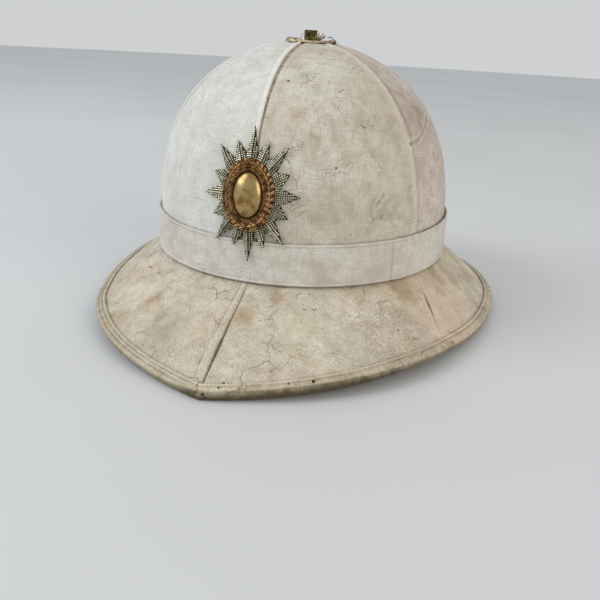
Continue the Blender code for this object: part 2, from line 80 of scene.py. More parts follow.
def through(places, values, at, flat_end=False):
    """A smooth curve through a table's values that never swings past them."""
    steps = [b - a for a, b in zip(places, places[1:])]
    slopes = [(b - a) / step for a, b, step in zip(values, values[1:], steps)]
    tangents = [slopes[0]]
    for before, after in zip(slopes, slopes[1:]):
        tangents.append(0.0 if before * after <= 0 else 2 * before * after / (before + after))
    tangents.append(0.0 if flat_end else slopes[-1])
    k = max(i for i in range(len(steps)) if places[i] <= at or i == 0)
    t = min(1.0, (at - places[k]) / steps[k])
    return (
        (1 + 2 * t) * (1 - t) ** 2 * values[k]
        + t * (1 - t) ** 2 * steps[k] * tangents[k]
        + t * t * (3 - 2 * t) * values[k + 1]
        - t * t * (1 - t) * steps[k] * tangents[k + 1]
    )


print("brim at the sides and the front, mm:", SIDE_REACH / MM, FRONT_REACH / MM)

# %% Points on the crown and the rim
UP = Vector((0, 0, 1))


def crown(turn, climb, inset=0.0):
    """Points of the crown. turn runs round it from the front, climb from 0 at the foot to the top."""
    narrow = np.cos(climb) ** (2 / CROWN_ROUND)
    rise = np.sin(climb) ** (2 / CROWN_SHOULDER)
    foot = FOOT_HEIGHT + FOOT_TILT * np.cos(turn)
    x = (CROWN_WIDTH / 2 - inset) * np.sin(turn) * narrow
    y = CENTRE_SHIFT - (CROWN_LENGTH / 2 - inset) * np.cos(turn) * narrow - CROWN_LEAN * rise**2
    z = foot + (FOOT_HEIGHT - foot) * rise + (CROWN_HEIGHT - inset) * rise
    return np.stack(np.broadcast_arrays(x, y, z), axis=-1)


def climb_to_radius(radius):
    return math.acos((radius / (CROWN_WIDTH / 2)) ** (CROWN_ROUND / 2))


def climb_to_height(height):
    return np.arcsin((height / CROWN_HEIGHT) ** (CROWN_SHOULDER / 2))


def rim_angle(turn):
    """Where a brim line that starts at this turn of the crown's foot meets the rim."""
    along = through(BRIM_LINES["foot"], BRIM_LINES["rim"], math.degrees(abs(turn)))
    return math.copysign(math.radians(along), turn)


def rim_value(angle, name):
    return through(RIM["angle"], RIM[name], math.degrees(abs(angle)), flat_end=True)


def rim_plan(angle):
    across = math.sin(angle) / (CROWN_WIDTH / 2)
    along = math.cos(angle) / (CROWN_LENGTH / 2)
    reach = SIDE_REACH + (FRONT_REACH - SIDE_REACH) * rim_value(angle, "front")
    reach += (BACK_REACH - SIDE_REACH) * rim_value(angle, "back")
    radius = 1 / math.hypot(across, along) + reach
    return Vector((radius * math.sin(angle), CENTRE_SHIFT - radius * math.cos(angle), 0))


def rim_outward(angle):
    if abs(math.sin(angle)) < 1e-6:
        return Vector((0, -math.cos(angle), 0))
    step = math.radians(1.5)
    return (rim_plan(angle + step) - rim_plan(angle - step)).normalized().cross(UP)


def rim_height(angle):
    away = abs(angle - WARP_ANGLE) / WARP_SPREAD
    warp = WARP_LIFT * math.cos(away * math.pi / 2) ** 2 if away < 1 else 0.0
    return RIM_RISE * rim_value(angle, "rise") + warp


def binding_outline(inset=0.0, corner=8, leg=14):
    """The binding in section, from over the brim, round the edge, to under it."""
    down = -math.pi / 2 + EDGE_TILT
    upper = np.linspace(math.pi / 2, 0, corner + 1)
    lower = np.linspace(0, down + REST_FLAT, corner // 2 + 1)
    last = np.linspace(down - REST_FLAT, -math.pi / 2, corner // 4 + 1)
    radius, middle = BINDING_CORNER - inset, EDGE_HALF - BINDING_CORNER
    top = np.linspace(-BINDING_OVER, -BINDING_CORNER, leg + 1)[:-1]
    under = np.linspace(-BINDING_CORNER, -BINDING_UNDER, leg // 2 + 1)[1:]
    points = [(u, EDGE_HALF - inset) for u in top]
    for turns, centre in ((upper, middle), ((*lower, *last), -middle)):
        points += [(radius * math.cos(a) - BINDING_CORNER, centre + radius * math.sin(a)) for a in turns]
    return points + [(u, inset - EDGE_HALF) for u in under]


OUTLINE = binding_outline()
OUT = max(u * math.cos(EDGE_TILT) + n * math.sin(EDGE_TILT) for u, n in OUTLINE)
LOW = min(n * math.cos(EDGE_TILT) - u * math.sin(EDGE_TILT) for u, n in OUTLINE)


def edge_point(angle, outward, above):
    """A point of the rim's section: outward and above run along and across the tilted edge."""
    flat = rim_outward(angle)
    reach = flat * math.cos(EDGE_TILT) - UP * math.sin(EDGE_TILT)
    normal = flat * math.sin(EDGE_TILT) + UP * math.cos(EDGE_TILT)
    base = rim_plan(angle) - flat * OUT + UP * (rim_height(angle) - LOW)
    return base + reach * outward + normal * above


print("the helmet's tip, mm:", [round(x / MM, 1) for x in edge_point(0, 0, 0)])

# %% [markdown]
# The brim's layers all hang between two lines: the crown's foot and the edge of the binding.
# Both are worked out once, at every half degree, and every layer reads them from there.

# %% The brim's lines
TURNS = np.linspace(-180, 180, 721)
WALL = BINDING_CLOTH + LAYER_GAP
DEEP = 0.01


def rim_line(outward, above):
    return np.array([edge_point(rim_angle(math.radians(t)), outward, above) for t in TURNS])


KNEE, KNEE_BELOW = (rim_line(-BINDING_OVER, EDGE_HALF - WALL - depth) for depth in (0, DEEP))
END, END_BELOW = (rim_line(-BINDING_CORNER, EDGE_HALF - WALL - depth) for depth in (0, DEEP))


def at_turn(line, turn):
    return np.stack([np.interp(np.degrees(turn), TURNS, line[:, k]) for k in range(3)], axis=-1)


def below(line, deep_line, turn, depth):
    return at_turn(line, turn) + (at_turn(deep_line, turn) - at_turn(line, turn)) * depth / DEEP


def brim(turn, share, depth=0.0, inset=0.0):
    """Points of the brim at a depth below its cover. share runs from 0 at its foot to 1 at the binding."""
    foot = crown(turn, 0.0, inset) - np.array(UP) * depth / math.cos(EDGE_TILT)
    knee = below(KNEE, KNEE_BELOW, turn, depth)
    return foot + (knee - foot) * share + np.array(UP) * BRIM_BULGE * 4 * share * (1 - share)


print("brim lines at", len(TURNS), "turns")

# %% [markdown]
# Cloth has a thickness and folded edges, so each piece is a closed shell: a front grid that can be
# pushed out or in by a relief, and a plain back. A Solidify modifier could do it, but two explicit
# grids also carry flat coordinates for the weave and, for every point, a value of dirt and of
# painted shade and painted highlight.

# %% Helpers that build meshes
SHARP_CLOTH, SHARP_METAL = math.radians(50), math.radians(35)


def normals_of(points, around):
    """Unit normals of a grid. They face out where rows climb and columns run to the wearer's left."""
    if around:
        across = np.roll(points, -1, 1) - np.roll(points, 1, 1)
    else:
        across = np.gradient(points, axis=1)
    normal = np.cross(across, np.gradient(points, axis=0))
    return normal / np.linalg.norm(normal, axis=2, keepdims=True)


def quads(ids):
    return np.stack([ids[:-1, :-1], ids[:-1, 1:], ids[1:, 1:], ids[1:, :-1]], axis=-1).reshape(-1, 4)


def marked(mesh, dirt_and_painted_light, sharp):
    """Gives a mesh its values of dirt, painted shade and painted highlight, and smooth shading up to an
    angle.
    """
    mesh.attributes.new("dirt_and_painted_light", "FLOAT", "POINT").data.foreach_set("value", dirt_and_painted_light)
    mesh.shade_smooth()
    mesh.set_sharp_from_angle(angle=sharp)
    return mesh


def shell(name, front, back, flat, dirt_and_painted_light, around=False):
    """A closed shell between two grids, with flat cloth coordinates and a value of dirt, painted shade and
    painted highlight for each point.
    """
    rows, columns = front.shape[:2]
    width = columns + 1 if around else columns
    step = np.arange(width)
    points = np.arange(rows)[:, None] * columns + (step % columns)[None, :]
    flats = np.arange(rows * width).reshape(rows, width)
    deep = rows * columns
    corners = [quads(points), quads(points)[:, ::-1] + deep]
    places = [quads(flats), quads(flats)[:, ::-1]]
    rims = [(0, slice(None, None, -1)), (-1, slice(None))]
    if not around:
        rims += [(slice(None), 0), (slice(None, None, -1), -1)]
    for pick in rims:
        ring, spots = points[pick], flats[pick]
        corners.append(np.stack([ring[:-1], ring[1:], ring[1:] + deep, ring[:-1] + deep], axis=-1))
        places.append(np.stack([spots[:-1], spots[1:], spots[1:], spots[:-1]], axis=-1))
    faces, places = np.concatenate(corners), np.concatenate(places)
    vertices = np.concatenate([front.reshape(-1, 3), back.reshape(-1, 3)])
    mesh = bpy.data.meshes.new(name)
    mesh.from_pydata(vertices.tolist(), [], faces.tolist())
    layer = mesh.uv_layers.new(name="cloth")
    layer.data.foreach_set("uv", flat.reshape(-1, 2)[places.ravel()].ravel())
    return marked(mesh, np.concatenate([dirt_and_painted_light.ravel(), dirt_and_painted_light.ravel()]), SHARP_CLOTH)


def sheet(name, points, relief, wall, flat, dirt_and_painted_light, around=False):
    """A shell whose front is the points pushed out by relief, and whose back lies one wall behind them."""
    normal = normals_of(points, around)
    return shell(name, points + normal * relief[..., None], points - normal * wall, flat, dirt_and_painted_light, around)


def piece(name, mesh, material, slot, *nodes):
    """Puts a mesh in the scene as a piece of the helmet that rides on its body."""
    made = bpy.data.objects.new(name, mesh)
    mesh.materials.append(material)
    bpy.context.scene.collection.objects.link(made)
    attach(made, "root")
    if nodes:
        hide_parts(*nodes)
    print(f"{name}: {len(mesh.polygons)} faces")
    return made


def cut(made, points, around, held, *rests_on):
    """Takes the steps along a cloth piece's rows and columns, and keeps nothing of them."""
    closed = np.concatenate([points, points[:, :1]], axis=1) if around else points
    across, up = np.diff(closed, axis=1), np.diff(closed, axis=0)


def lumps(points, size, seed=0.0):
    """Smooth noise from -1 to 1 at each point, with lumps of this size in metres."""
    spots = (points.reshape(-1, 3) / size + seed).tolist()
    return np.array([noise.noise(spot) for spot in spots]).reshape(points.shape[:-1])


def running(line, closed=False):
    """How far along a line each of its points lies. A closed line ends where it began."""
    steps = np.diff(line, axis=0, append=line[:1]) if closed else np.diff(line, axis=0)
    return np.concatenate([[0], np.cumsum(np.linalg.norm(steps, axis=1))])


def ease(low, high, value):
    """0 below low, 1 above high and a smooth step between."""
    t = np.clip((value - low) / (high - low), 0, 1)
    return t * t * (3 - 2 * t)


def hump(distance, middle, width):
    """A smooth ridge, 1 at its middle, that dies away within about twice the width."""
    return np.exp(-(((distance - middle) / width) ** 2))


def ripple(distance, middle, width):
    """A hump whose middle and width are in millimetres."""
    return hump(distance, middle * MM, width * MM)


def turned_edge(distance, deep, wide):
    """The drop at a folded edge: deep at the edge itself, and level from wide on, both in millimetres."""
    return -deep * MM * (1 - np.sin(np.clip(distance / (wide * MM), 0, 1) * math.pi / 2))


# %% [markdown]
# The finishes come next. Whitened cotton is matt, a little warm, and never even: clay fills the
# weave, cracks where the cloth flexes, and rubs thin over seams. A photographed texture would be
# quick, but nodes stay sharp at any distance and follow the real thread and crack sizes.

# %% Helpers that build materials
def linear(code):
    """An sRGB hex colour in linear light."""
    parts = [int(code[i : i + 2], 16) / 255 for i in (0, 2, 4)]
    return [p / 12.92 if p <= 0.04045 else ((p + 0.055) / 1.055) ** 2.4 for p in parts] + [1.0]


def add(tree, kind, inputs, **settings):
    """Adds a node. An input is a value, a hex colour or another node's output."""
    made = tree.nodes.new("ShaderNode" + kind)
    for name, value in settings.items():
        setattr(made, name, value)
    for name, value in inputs.items():
        if isinstance(value, bpy.types.NodeSocket):
            tree.links.new(value, made.inputs[name])
        else:
            made.inputs[name].default_value = linear(value) if isinstance(value, str) else value
    return made


def blend(tree, factor, first, second):
    """The colour output of a Mix node from first to second. Sockets 0, 6 and 7 are its colour ones."""
    return add(tree, "Mix", {0: factor, 6: first, 7: second}, data_type="RGBA").outputs[2]


def times(tree, first, second, operation="MULTIPLY"):
    return add(tree, "Math", {0: first, 1: second}, operation=operation).outputs[0]


def vector(tree, operation, first, second):
    return add(tree, "VectorMath", {0: first, 1: second}, operation=operation).outputs[0]


def distance(tree, first, second):
    return add(tree, "VectorMath", {0: first, 1: second}, operation="DISTANCE").outputs["Value"]


def cloud(tree, place, size, detail, output=0):
    """Noise with lumps of this size in metres."""
    inputs = {"Vector": place, "Scale": 1 / size, "Detail": detail}
    return add(tree, "TexNoise", inputs).outputs[output]


def cell_edge(tree, place, size):
    """How far a point is from the edges of a net of cells of this size in metres."""
    cells = {"Vector": place, "Scale": 1 / size}
    return add(tree, "TexVoronoi", cells, feature="DISTANCE_TO_EDGE").outputs["Distance"]


def dirt_and_painted_light_of(tree):
    return add(tree, "Attribute", {}, attribute_name="dirt_and_painted_light").outputs["Fac"]


def finish(tree, shader, colour, height, strength, depth):
    """Links a colour to the shader, and a height as a bump of this depth in metres."""
    tree.links.new(colour, shader.inputs["Base Color"])
    bump = add(tree, "Bump", {"Height": height, "Strength": strength, "Distance": depth})
    tree.links.new(bump.outputs[0], shader.inputs["Normal"])


def band(tree, value, low, high, to_low=0.0, to_high=1.0):
    """Maps a value from low..high to to_low..to_high with a smooth step."""
    inputs = {"Value": value, "From Min": low, "From Max": high, "To Min": to_low, "To Max": to_high}
    return add(tree, "MapRange", inputs, interpolation_type="SMOOTHSTEP").outputs[0]


def new_material(name):
    made = bpy.data.materials.new(name)
    made.use_nodes = True
    tree = made.node_tree
    place = add(tree, "TexCoord", {}).outputs["Object"]
    return made, tree, tree.nodes["Principled BSDF"], place


def patches(tree, place, size, low, high, detail=3.0, seed=0.0):
    """Soft patches of this size in metres, from 0 to 1. low and high say how hard their edges are."""
    shift = vector(tree, "ADD", place, (seed, seed * 0.7, seed * 0.3))
    return band(tree, cloud(tree, shift, size, detail), low, high)


print("helpers ready; a pale cloth in linear light:", [round(c, 3) for c in linear("DEDBD1")])

# %% [markdown]
# Whitened cotton: a plain weave with about 20 threads to the centimetre, pasted on cork and painted
# with pipe clay. It gives the eye a chalky, slightly mottled surface with fine cracks and a weave
# that only shows in patches. The threads are drawn 1.45 mm apart on the brim and 1.1 mm apart on
# the crown, two to three times too coarse, because the real ones would be finer than a pixel.

# %% Stains, holes and cracks
STAINS = (
    # middle, radius, colour, strength: old stains on the brim, then on the crown
    ((-0.0541, -0.1183, 0.0243), 0.008, "A3855A", 0.70),
    ((-0.0720, -0.0887, 0.0307), 0.013, "B9A080", 0.60),
    ((-0.0743, -0.1256, 0.0124), 0.010, "A99066", 0.60),
    ((0.0832, -0.0625, 0.0343), 0.011, "96804F", 0.90),
    ((0.0961, -0.0284, 0.0342), 0.012, "8F7C55", 0.80),
    ((0.0067, -0.1277, 0.0283), 0.004, "9C7E54", 0.80),
    ((0.0202, -0.1090, 0.0365), 0.004, "A3825A", 0.70),
    ((0.1153, 0.0214, 0.0221), 0.012, "A78A6C", 0.60),
    ((-0.0340, -0.1355, 0.0201), 0.018, "ABA48D", 0.60),
    ((0.0370, -0.1249, 0.0254), 0.020, "C2B89C", 0.40),
    ((0.1042, -0.0504, 0.0224), 0.040, "DABFAC", 0.65),
    ((0.0410, -0.1010, 0.0500), 0.012, "A99E88", 0.50),
    ((0.0874, -0.0983, 0.0184), 0.012, "CDB8A4", 0.50),
    ((0.1107, -0.0778, 0.0079), 0.004, "8A6A40", 0.85),
    ((0.0182, -0.0860, 0.1307), 0.004, "A8906C", 0.60),
    ((0.0287, -0.0888, 0.1196), 0.004, "A4957A", 0.55),
    ((0.0517, -0.0679, 0.1274), 0.006, "A1947C", 0.55),
    ((0.0416, -0.0922, 0.0843), 0.010, "A69A80", 0.60),
    ((0.0702, -0.0670, 0.0811), 0.008, "A09480", 0.55),
    ((0.0560, -0.0560, 0.1390), 0.022, "B0A48E", 0.45),
    ((0.0745, -0.0230, 0.1330), 0.020, "9A8878", 0.75),
    ((0.0210, -0.0522, 0.1570), 0.016, "D9DBCF", 0.60),
)
HOLES = (
    # middle and radius of small holes, whose dark is painted shade, and of dark knots
    ((0.0100, -0.1642, 0.0073), 0.0010),
    ((0.0091, -0.1684, 0.0070), 0.0007),
    ((0.0412, -0.1551, 0.0091), 0.0008),
    ((0.0525, -0.1492, 0.0097), 0.0012),
    ((0.0028, -0.1734, 0.0043), 0.0009),
    ((0.0037, -0.1731, 0.0026), 0.0008),
    ((0.0859, -0.0939, 0.0212), 0.0006),
    ((0.0918, -0.0934, 0.0177), 0.0004),
    ((0.0940, -0.0791, 0.0216), 0.0005),
    ((0.1008, -0.0667, 0.0204), 0.0004),
    ((0.0903, -0.1007, 0.0156), 0.0005),
    ((0.0079, -0.0715, 0.1482), 0.0009),
    ((0.0419, -0.0873, 0.1063), 0.0007),
    ((0.0471, -0.0831, 0.1079), 0.0004),
    ((-0.0031, -0.1441, 0.0198), 0.0007),
)
CRACKS = (
    # from, to, half width: lines where the whitening has cracked
    ((0.0209, -0.0719, 0.1449), (0.0243, -0.0683, 0.1466), 0.0005),
    ((0.0334, -0.0675, 0.1430), (0.0372, -0.0604, 0.1460), 0.0006),
    ((0.0493, -0.0699, 0.1279), (0.0551, -0.0647, 0.1268), 0.0008),
    ((0.0131, -0.1187, 0.0324), (0.0395, -0.1059, 0.0345), 0.0005),
    ((0.0350, -0.1135, 0.0318), (0.0410, -0.1090, 0.0320), 0.0008),
    ((-0.0739, -0.0822, 0.0324), (-0.0560, -0.0990, 0.0310), 0.0006),
)
FLAKED, FLAKED_SPREAD = (0.0874, -0.0983, 0.0184), 16 * MM
print("marks:", len(STAINS) + len(HOLES) + len(CRACKS))

# %% Whitened cotton
THREAD, FINE_THREAD, GRAIN = 1.45 * MM, 1.1 * MM, 1.3 * MM
CRACK_CELL, CRAZE_CELL, SPECK_CELL = 16 * MM, 2.1 * MM, 2.2 * MM
CRACK_WANDER, CRACK_SWAY = 7 * MM, 8 * MM
STAIN_EDGE = 5 * MM
HOLLOW_TINT, CRACK_TINT, FLECK_TINT, SPECK_TINT = "8C7F66", "857660", "F3EBDD", "75674F"
# the chalk tint is painted highlight as well as built-up chalk, the grime tint painted shade as well as
# grime
CHALK_AND_HIGHLIGHT_TINT, GRIME_AND_SHADE_TINT, HOLE_TINT = "F1EEE4", "584D38", "241D16"


def reach(tree, point, start, end):
    """How far a point is from the line between start and end."""
    ahead = Vector(end) - Vector(start)
    off = vector(tree, "SUBTRACT", point, start)
    unit = tuple(ahead / ahead.length_squared)
    along = add(tree, "VectorMath", {0: off, 1: unit}, operation="DOT_PRODUCT").outputs["Value"]
    share = add(tree, "Clamp", {0: along}).outputs[0]
    foot = add(tree, "VectorMath", {0: tuple(ahead), "Scale": share}, operation="SCALE").outputs[0]
    return distance(tree, off, foot)


def slubs(tree, flat, across, along):
    """Noise drawn out into streaks, like the thick and thin places of cotton yarn."""
    return cloud(tree, vector(tree, "MULTIPLY", flat, (1 / across, 1 / along, 0)), 1.0, 3.0)


def whitened_cotton(name, tints, thread, weave, cracks, specks, heights):
    """Clay-whitened cotton in three tints. weave, cracks and specks are strengths, and only marks
    between the two heights are painted."""
    pale, warm, shade = tints
    low, high = heights
    made, tree, shader, place = new_material(name)
    flat = add(tree, "UVMap", {}, uv_map="cloth").outputs[0]
    parts = add(tree, "SeparateXYZ", {"Vector": flat}).outputs
    warp, weft = (times(tree, times(tree, parts[k], 2 * math.pi / thread), 0.0, "SINE") for k in (0, 1))
    threads = times(tree, times(tree, warp, weft, "ADD"), 0.5)
    bare = patches(tree, place, 0.022, 0.30, 0.62, seed=6.1)
    broad = patches(tree, place, 0.045, 0.35, 0.68, seed=3.1)
    fine = patches(tree, place, 0.007, 0.35, 0.75, detail=6.0, seed=1.7)
    grain = cloud(tree, place, GRAIN, 4.0)
    colour = blend(tree, broad, pale, warm)
    colour = blend(tree, times(tree, fine, 0.55), colour, shade)
    yarn = slubs(tree, flat, 0.9 * MM, 9 * MM)
    yarn = times(tree, yarn, slubs(tree, flat, 9 * MM, 0.9 * MM), "MAXIMUM")
    colour = blend(tree, band(tree, yarn, 0.50, 0.72, 0.0, 0.55), colour, shade)
    colour = blend(tree, band(tree, grain, 0.45, 0.70, 0.0, 0.25 + 0.35 * weave), colour, shade)
    hollow = times(tree, band(tree, threads, 0.2, -0.7), times(tree, bare, 0.45 * weave))
    colour = blend(tree, hollow, colour, HOLLOW_TINT)

    sway = vector(tree, "SUBTRACT", cloud(tree, place, CRACK_WANDER, 5.0, "Color"), (0.5, 0.5, 0.5))
    sway = add(tree, "VectorMath", {0: sway, "Scale": CRACK_SWAY}, operation="SCALE").outputs[0]
    bent = vector(tree, "ADD", place, sway)
    line = band(tree, cell_edge(tree, bent, CRACK_CELL), 0.006, 0.022, 1.0, 0.0)
    line = times(tree, line, patches(tree, place, 0.016, 0.50, 0.72, seed=5.3))
    line = times(tree, line, cracks)
    craze = band(tree, cell_edge(tree, bent, CRAZE_CELL), 0.01, 0.12, 0.60, 0.0)
    crust = band(tree, distance(tree, place, FLAKED), FLAKED_SPREAD, 2.2 * FLAKED_SPREAD, 0.9, 0.0)
    crazed = times(tree, patches(tree, place, 0.014, 0.52, 0.74, seed=9.4), crust, "MAXIMUM")
    line = times(tree, line, times(tree, times(tree, craze, crazed), cracks), "MAXIMUM")
    for start, end, width in CRACKS:
        if low <= start[2] <= high:
            mark = band(tree, reach(tree, bent, start, end), width * 0.4, width, 0.8, 0.0)
            line = times(tree, line, mark, "MAXIMUM")

    for middle, radius, tint, strength in STAINS:
        if low <= middle[2] <= high:
            away = distance(tree, bent, middle)
            spot = band(tree, away, radius * 0.3, radius + STAIN_EDGE, strength, 0.0)
            colour = blend(tree, times(tree, spot, band(tree, fine, 0, 1, 0.55, 1)), colour, tint)
    colour = blend(tree, line, colour, CRACK_TINT)
    # pale flecks of loose clay, round the last of this cloth's stains
    dots = add(tree, "TexVoronoi", {"Vector": bent, "Scale": 1 / CRAZE_CELL}, feature="F1")
    flecks = band(tree, dots.outputs["Distance"], 0.12, 0.30, 0.9, 0.0)
    flecks = times(tree, flecks, band(tree, away, 3 * MM, 15 * MM, 1.0, 0.0))
    colour = blend(tree, flecks, colour, FLECK_TINT)

    dots = add(tree, "TexVoronoi", {"Vector": place, "Scale": 1 / SPECK_CELL}, feature="F1")
    near = band(tree, dots.outputs["Distance"], 0.10, 0.30, 1.0, 0.0)
    rare = add(tree, "SeparateColor", {"Color": dots.outputs["Color"]}).outputs[0]
    near = times(tree, near, band(tree, rare, 0.80, 0.92))
    near = times(tree, near, patches(tree, place, 0.020, 0.40, 0.64, seed=8.8))
    colour = blend(tree, times(tree, near, specks), colour, SPECK_TINT)

    # Above zero the value darkens towards the grime tint: painted shade in grooves, gaps, folds and under
    # edges, with grime and dust. Below zero it lightens towards the chalk tint: painted highlight on
    # ridges, with built-up chalk.
    dirt_and_painted_light = dirt_and_painted_light_of(tree)
    chalk_and_highlight = times(tree, band(tree, dirt_and_painted_light, 0.0, -1.0), band(tree, fine, 0.0, 0.7, 0.6, 1.0))
    colour = blend(tree, chalk_and_highlight, colour, CHALK_AND_HIGHLIGHT_TINT)
    grime_and_shade = times(tree, dirt_and_painted_light, band(tree, fine, 0.0, 0.7, 0.8, 1.0))
    colour = blend(tree, grime_and_shade, colour, GRIME_AND_SHADE_TINT)
    # the holes are not cut: their dark is painted shade, while the knots' dark is their own
    for middle, radius in HOLES:
        if low <= middle[2] <= high:
            pit = band(tree, distance(tree, place, middle), radius * 0.6, radius, 1.0, 0.0)
            colour = blend(tree, pit, colour, HOLE_TINT)

    height = times(tree, times(tree, threads, bare), 0.9 * weave)
    for layer, strength in ((grain, 1.2), (yarn, 1.2), (line, -1.4)):
        height = times(tree, height, times(tree, layer, strength), "ADD")
    finish(tree, shader, colour, height, 0.9, 0.32 * MM)
    for name_of_input, value in (("Roughness", 0.86), ("IOR", 1.5), ("Specular IOR Level", 0.3)):
        shader.inputs[name_of_input].default_value = value
    print(f"{name}: {len(tree.nodes)} nodes")
    return made


ON_CROWN, ON_BAND, ON_BRIM = (0.05, 0.2), (0.035, 0.2), (0.0, 0.05)
# The cool and grey crown tones are partly painted light and shade: lit towards the window, shaded away from
# it.
COTTON = {
    tone: whitened_cotton(f"whitened_cotton_{tone}", *settings)
    for tone, *settings in (
        # pale, warm and shaded tint, thread, then strength of weave, cracks and specks, and heights
        ("cool", ("E0E1DC", "D9D8D0", "C2C1B7"), FINE_THREAD, 0.3, 0.35, 0.6, ON_CROWN),
        ("cream", ("D5D2C5", "CBC3B3", "A9A08D"), FINE_THREAD, 0.3, 0.7, 0.8, ON_CROWN),
        ("grey", ("D5CCC2", "C9BDB2", "A5978B"), FINE_THREAD, 0.3, 0.5, 0.7, ON_CROWN),
        ("band", ("DBDAD3", "D0CAC0", "B6AFA2"), FINE_THREAD, 0.4, 0.3, 0.6, ON_BAND),
        ("brim", ("DDD8C8", "D6CBB7", "AFA087"), THREAD, 0.75, 0.8, 1.0, ON_BRIM),
        ("binding", ("D0C6B0", "BEB299", "90836A"), THREAD, 0.3, 0.9, 1.0, ON_BRIM),
    )
}

# %% [markdown]
# Nine small finishes are left: brown seam cloth that shows where a seam has opened, the pasted
# lining inside the cork, the frayed cotton and two kinds of loose thread at the top, brass, white
# metal and two tones of gilt. Tarnish sits in the hollows and bright metal shows on the tops. The
# dirt value on each point says which is which.

# %% The other cloths
def plain_cloth(name, pale, shade, size):
    """Bare cotton in patches of two colours, with a thread-sized bump."""
    made, tree, shader, place = new_material(name)
    colour = blend(tree, patches(tree, place, size, 0.3, 0.7), pale, shade)
    colour = blend(tree, dirt_and_painted_light_of(tree), colour, "5E4628")
    finish(tree, shader, colour, cloud(tree, place, 0.9 * MM, 5.0), 0.6, 0.2 * MM)
    shader.inputs["Roughness"].default_value = 0.9
    return made


LINING = plain_cloth("pasted_lining_cotton", "CFC6B2", "B3A385", 0.030)
SEAM_CLOTH = plain_cloth("bare_seam_cotton", "A8998A", "857663", 0.004)
FRAYED = plain_cloth("frayed_cotton", "ECE4D0", "C2AB82", 0.0022)
THREADS = plain_cloth("loose_cotton_threads", "CDB68C", "7A5C38", 0.0015)
DARK_THREADS = plain_cloth("burnt_cotton_threads", "4A3A28", "2B2118", 0.0015)
print("five bare cloths")


# %% Brass, white metal and gilding metal
def struck_metal(name, bright, hollow, tarnish, roughness, spread, spot=None):
    """Die-struck or turned metal: bright where it stands proud, dark in the hollows, and tarnished in
    patches. spot is the place of one dark patch."""
    made, tree, shader, place = new_material(name)
    dark = dirt_and_painted_light_of(tree)
    colour = blend(tree, patches(tree, place, spread, 0.42, 0.66), bright, tarnish)
    colour = blend(tree, dark, colour, hollow)
    if spot:
        pit = band(tree, distance(tree, place, spot), 0.9 * MM, 1.5 * MM, 0.9, 0.0)
        colour = blend(tree, pit, colour, hollow)
    tree.links.new(band(tree, dark, 0, 1, roughness, 0.75), shader.inputs["Roughness"])
    tree.links.new(band(tree, dark, 0.3, 1.0, 1.0, 0.35), shader.inputs["Metallic"])
    finish(tree, shader, colour, cloud(tree, place, 0.5 * MM, 3.0), 0.25, 0.05 * MM)
    return made


BRASS = struck_metal("turned_brass_tarnished", "94824C", "2A2416", "64623F", 0.42, 0.002,
                     spot=(-0.0004, -0.0075, 0.1732))
WHITE_METAL = struck_metal("die_cut_white_metal", "D2CFB8", "262414", "AAA78C", 0.28, 0.004)
GILT = struck_metal("gilding_metal_coppery", "AE8557", "190D05", "644528", 0.34, 0.0035)
DOME_GILT = struck_metal("gilding_metal_greenish", "B09A68", "3A2E18", "8A6238", 0.27, 0.005)
print("metals ready")

# %% [markdown]
# The crown is covered by six gores. On the real helmet each is cut from flat cloth, turned in at
# its edges and sewn to the next, so a welt runs up every seam. At the front the seam has opened.
# One long ring of faces would be simpler, but separate gores give true edges and gaps.

# %% The crown's gores
FLANGE_RADIUS, COLLET_RADIUS, COLLET_CLEARANCE = 0.0125, 0.0043, 0.0008
# The tones are partly the whitening's own unevenness and partly painted light: the cool gores on the
# wearer's right, towards the window, carry painted light, and the grey ones on the wearer's left painted
# shade.
GORES = (
    # name, first seam, last seam in degrees, tone
    ("front_left", 0, 60, "cream"),
    ("side_left", 60, 120, "grey"),
    ("back_left", 120, 180, "grey"),
    ("back_right", -180, -120, "cream"),
    ("side_right", -120, -60, "cool"),
    ("front_right", -60, 0, "cool"),
)
NEAR_SEAM = np.array((0, 0.3, 0.6, 0.9, 1.3, 1.8, 2.4, 3.1, 4.0, 5.0, 6.2, 7.5)) * MM
ROW_STEP = 1.5 * MM
GORE_COLUMNS = 40
BAND_TOP = 0.028
FOLDS = {
    # folds pressed into a gore: path, depth, width
    "side_left": (
        (((0.0735, -0.0459, 0.1164), (0.0777, -0.0345, 0.1177), (0.0786, -0.0067, 0.1274),
          (0.0736, 0.0180, 0.1340)), 0.55 * MM, 1.1 * MM),
    ),
    "front_left": (
        (((0.0638, -0.0739, 0.0858), (0.0660, -0.0700, 0.0905), (0.0655, -0.0670, 0.0960)),
         0.20 * MM, 0.9 * MM),
        (((0.0290, -0.0620, 0.1485), (0.0300, -0.0720, 0.1395), (0.0265, -0.0800, 0.1330)),
         0.14 * MM, 0.9 * MM),
    ),
}


def path_distance(points, path):
    """How far each point is from a path of straight parts."""
    nearest = np.full(points.shape[:-1], np.inf)
    for start, end in zip(np.array(path[:-1]), np.array(path[1:])):
        ahead = end - start
        share = np.clip((points - start) @ ahead / (ahead @ ahead), 0, 1)
        nearest = np.minimum(nearest, np.linalg.norm(points - start - share[..., None] * ahead, axis=-1))
    return nearest


def spread(length, count):
    """Places across a panel of this width: close together at both seams, even between them."""
    near = NEAR_SEAM * min(1.0, 0.4 * length / NEAR_SEAM[-1])
    middle = np.linspace(near[-1], length - near[-1], count + 2)[1:-1]
    return np.concatenate([near, middle, length - near[::-1]])


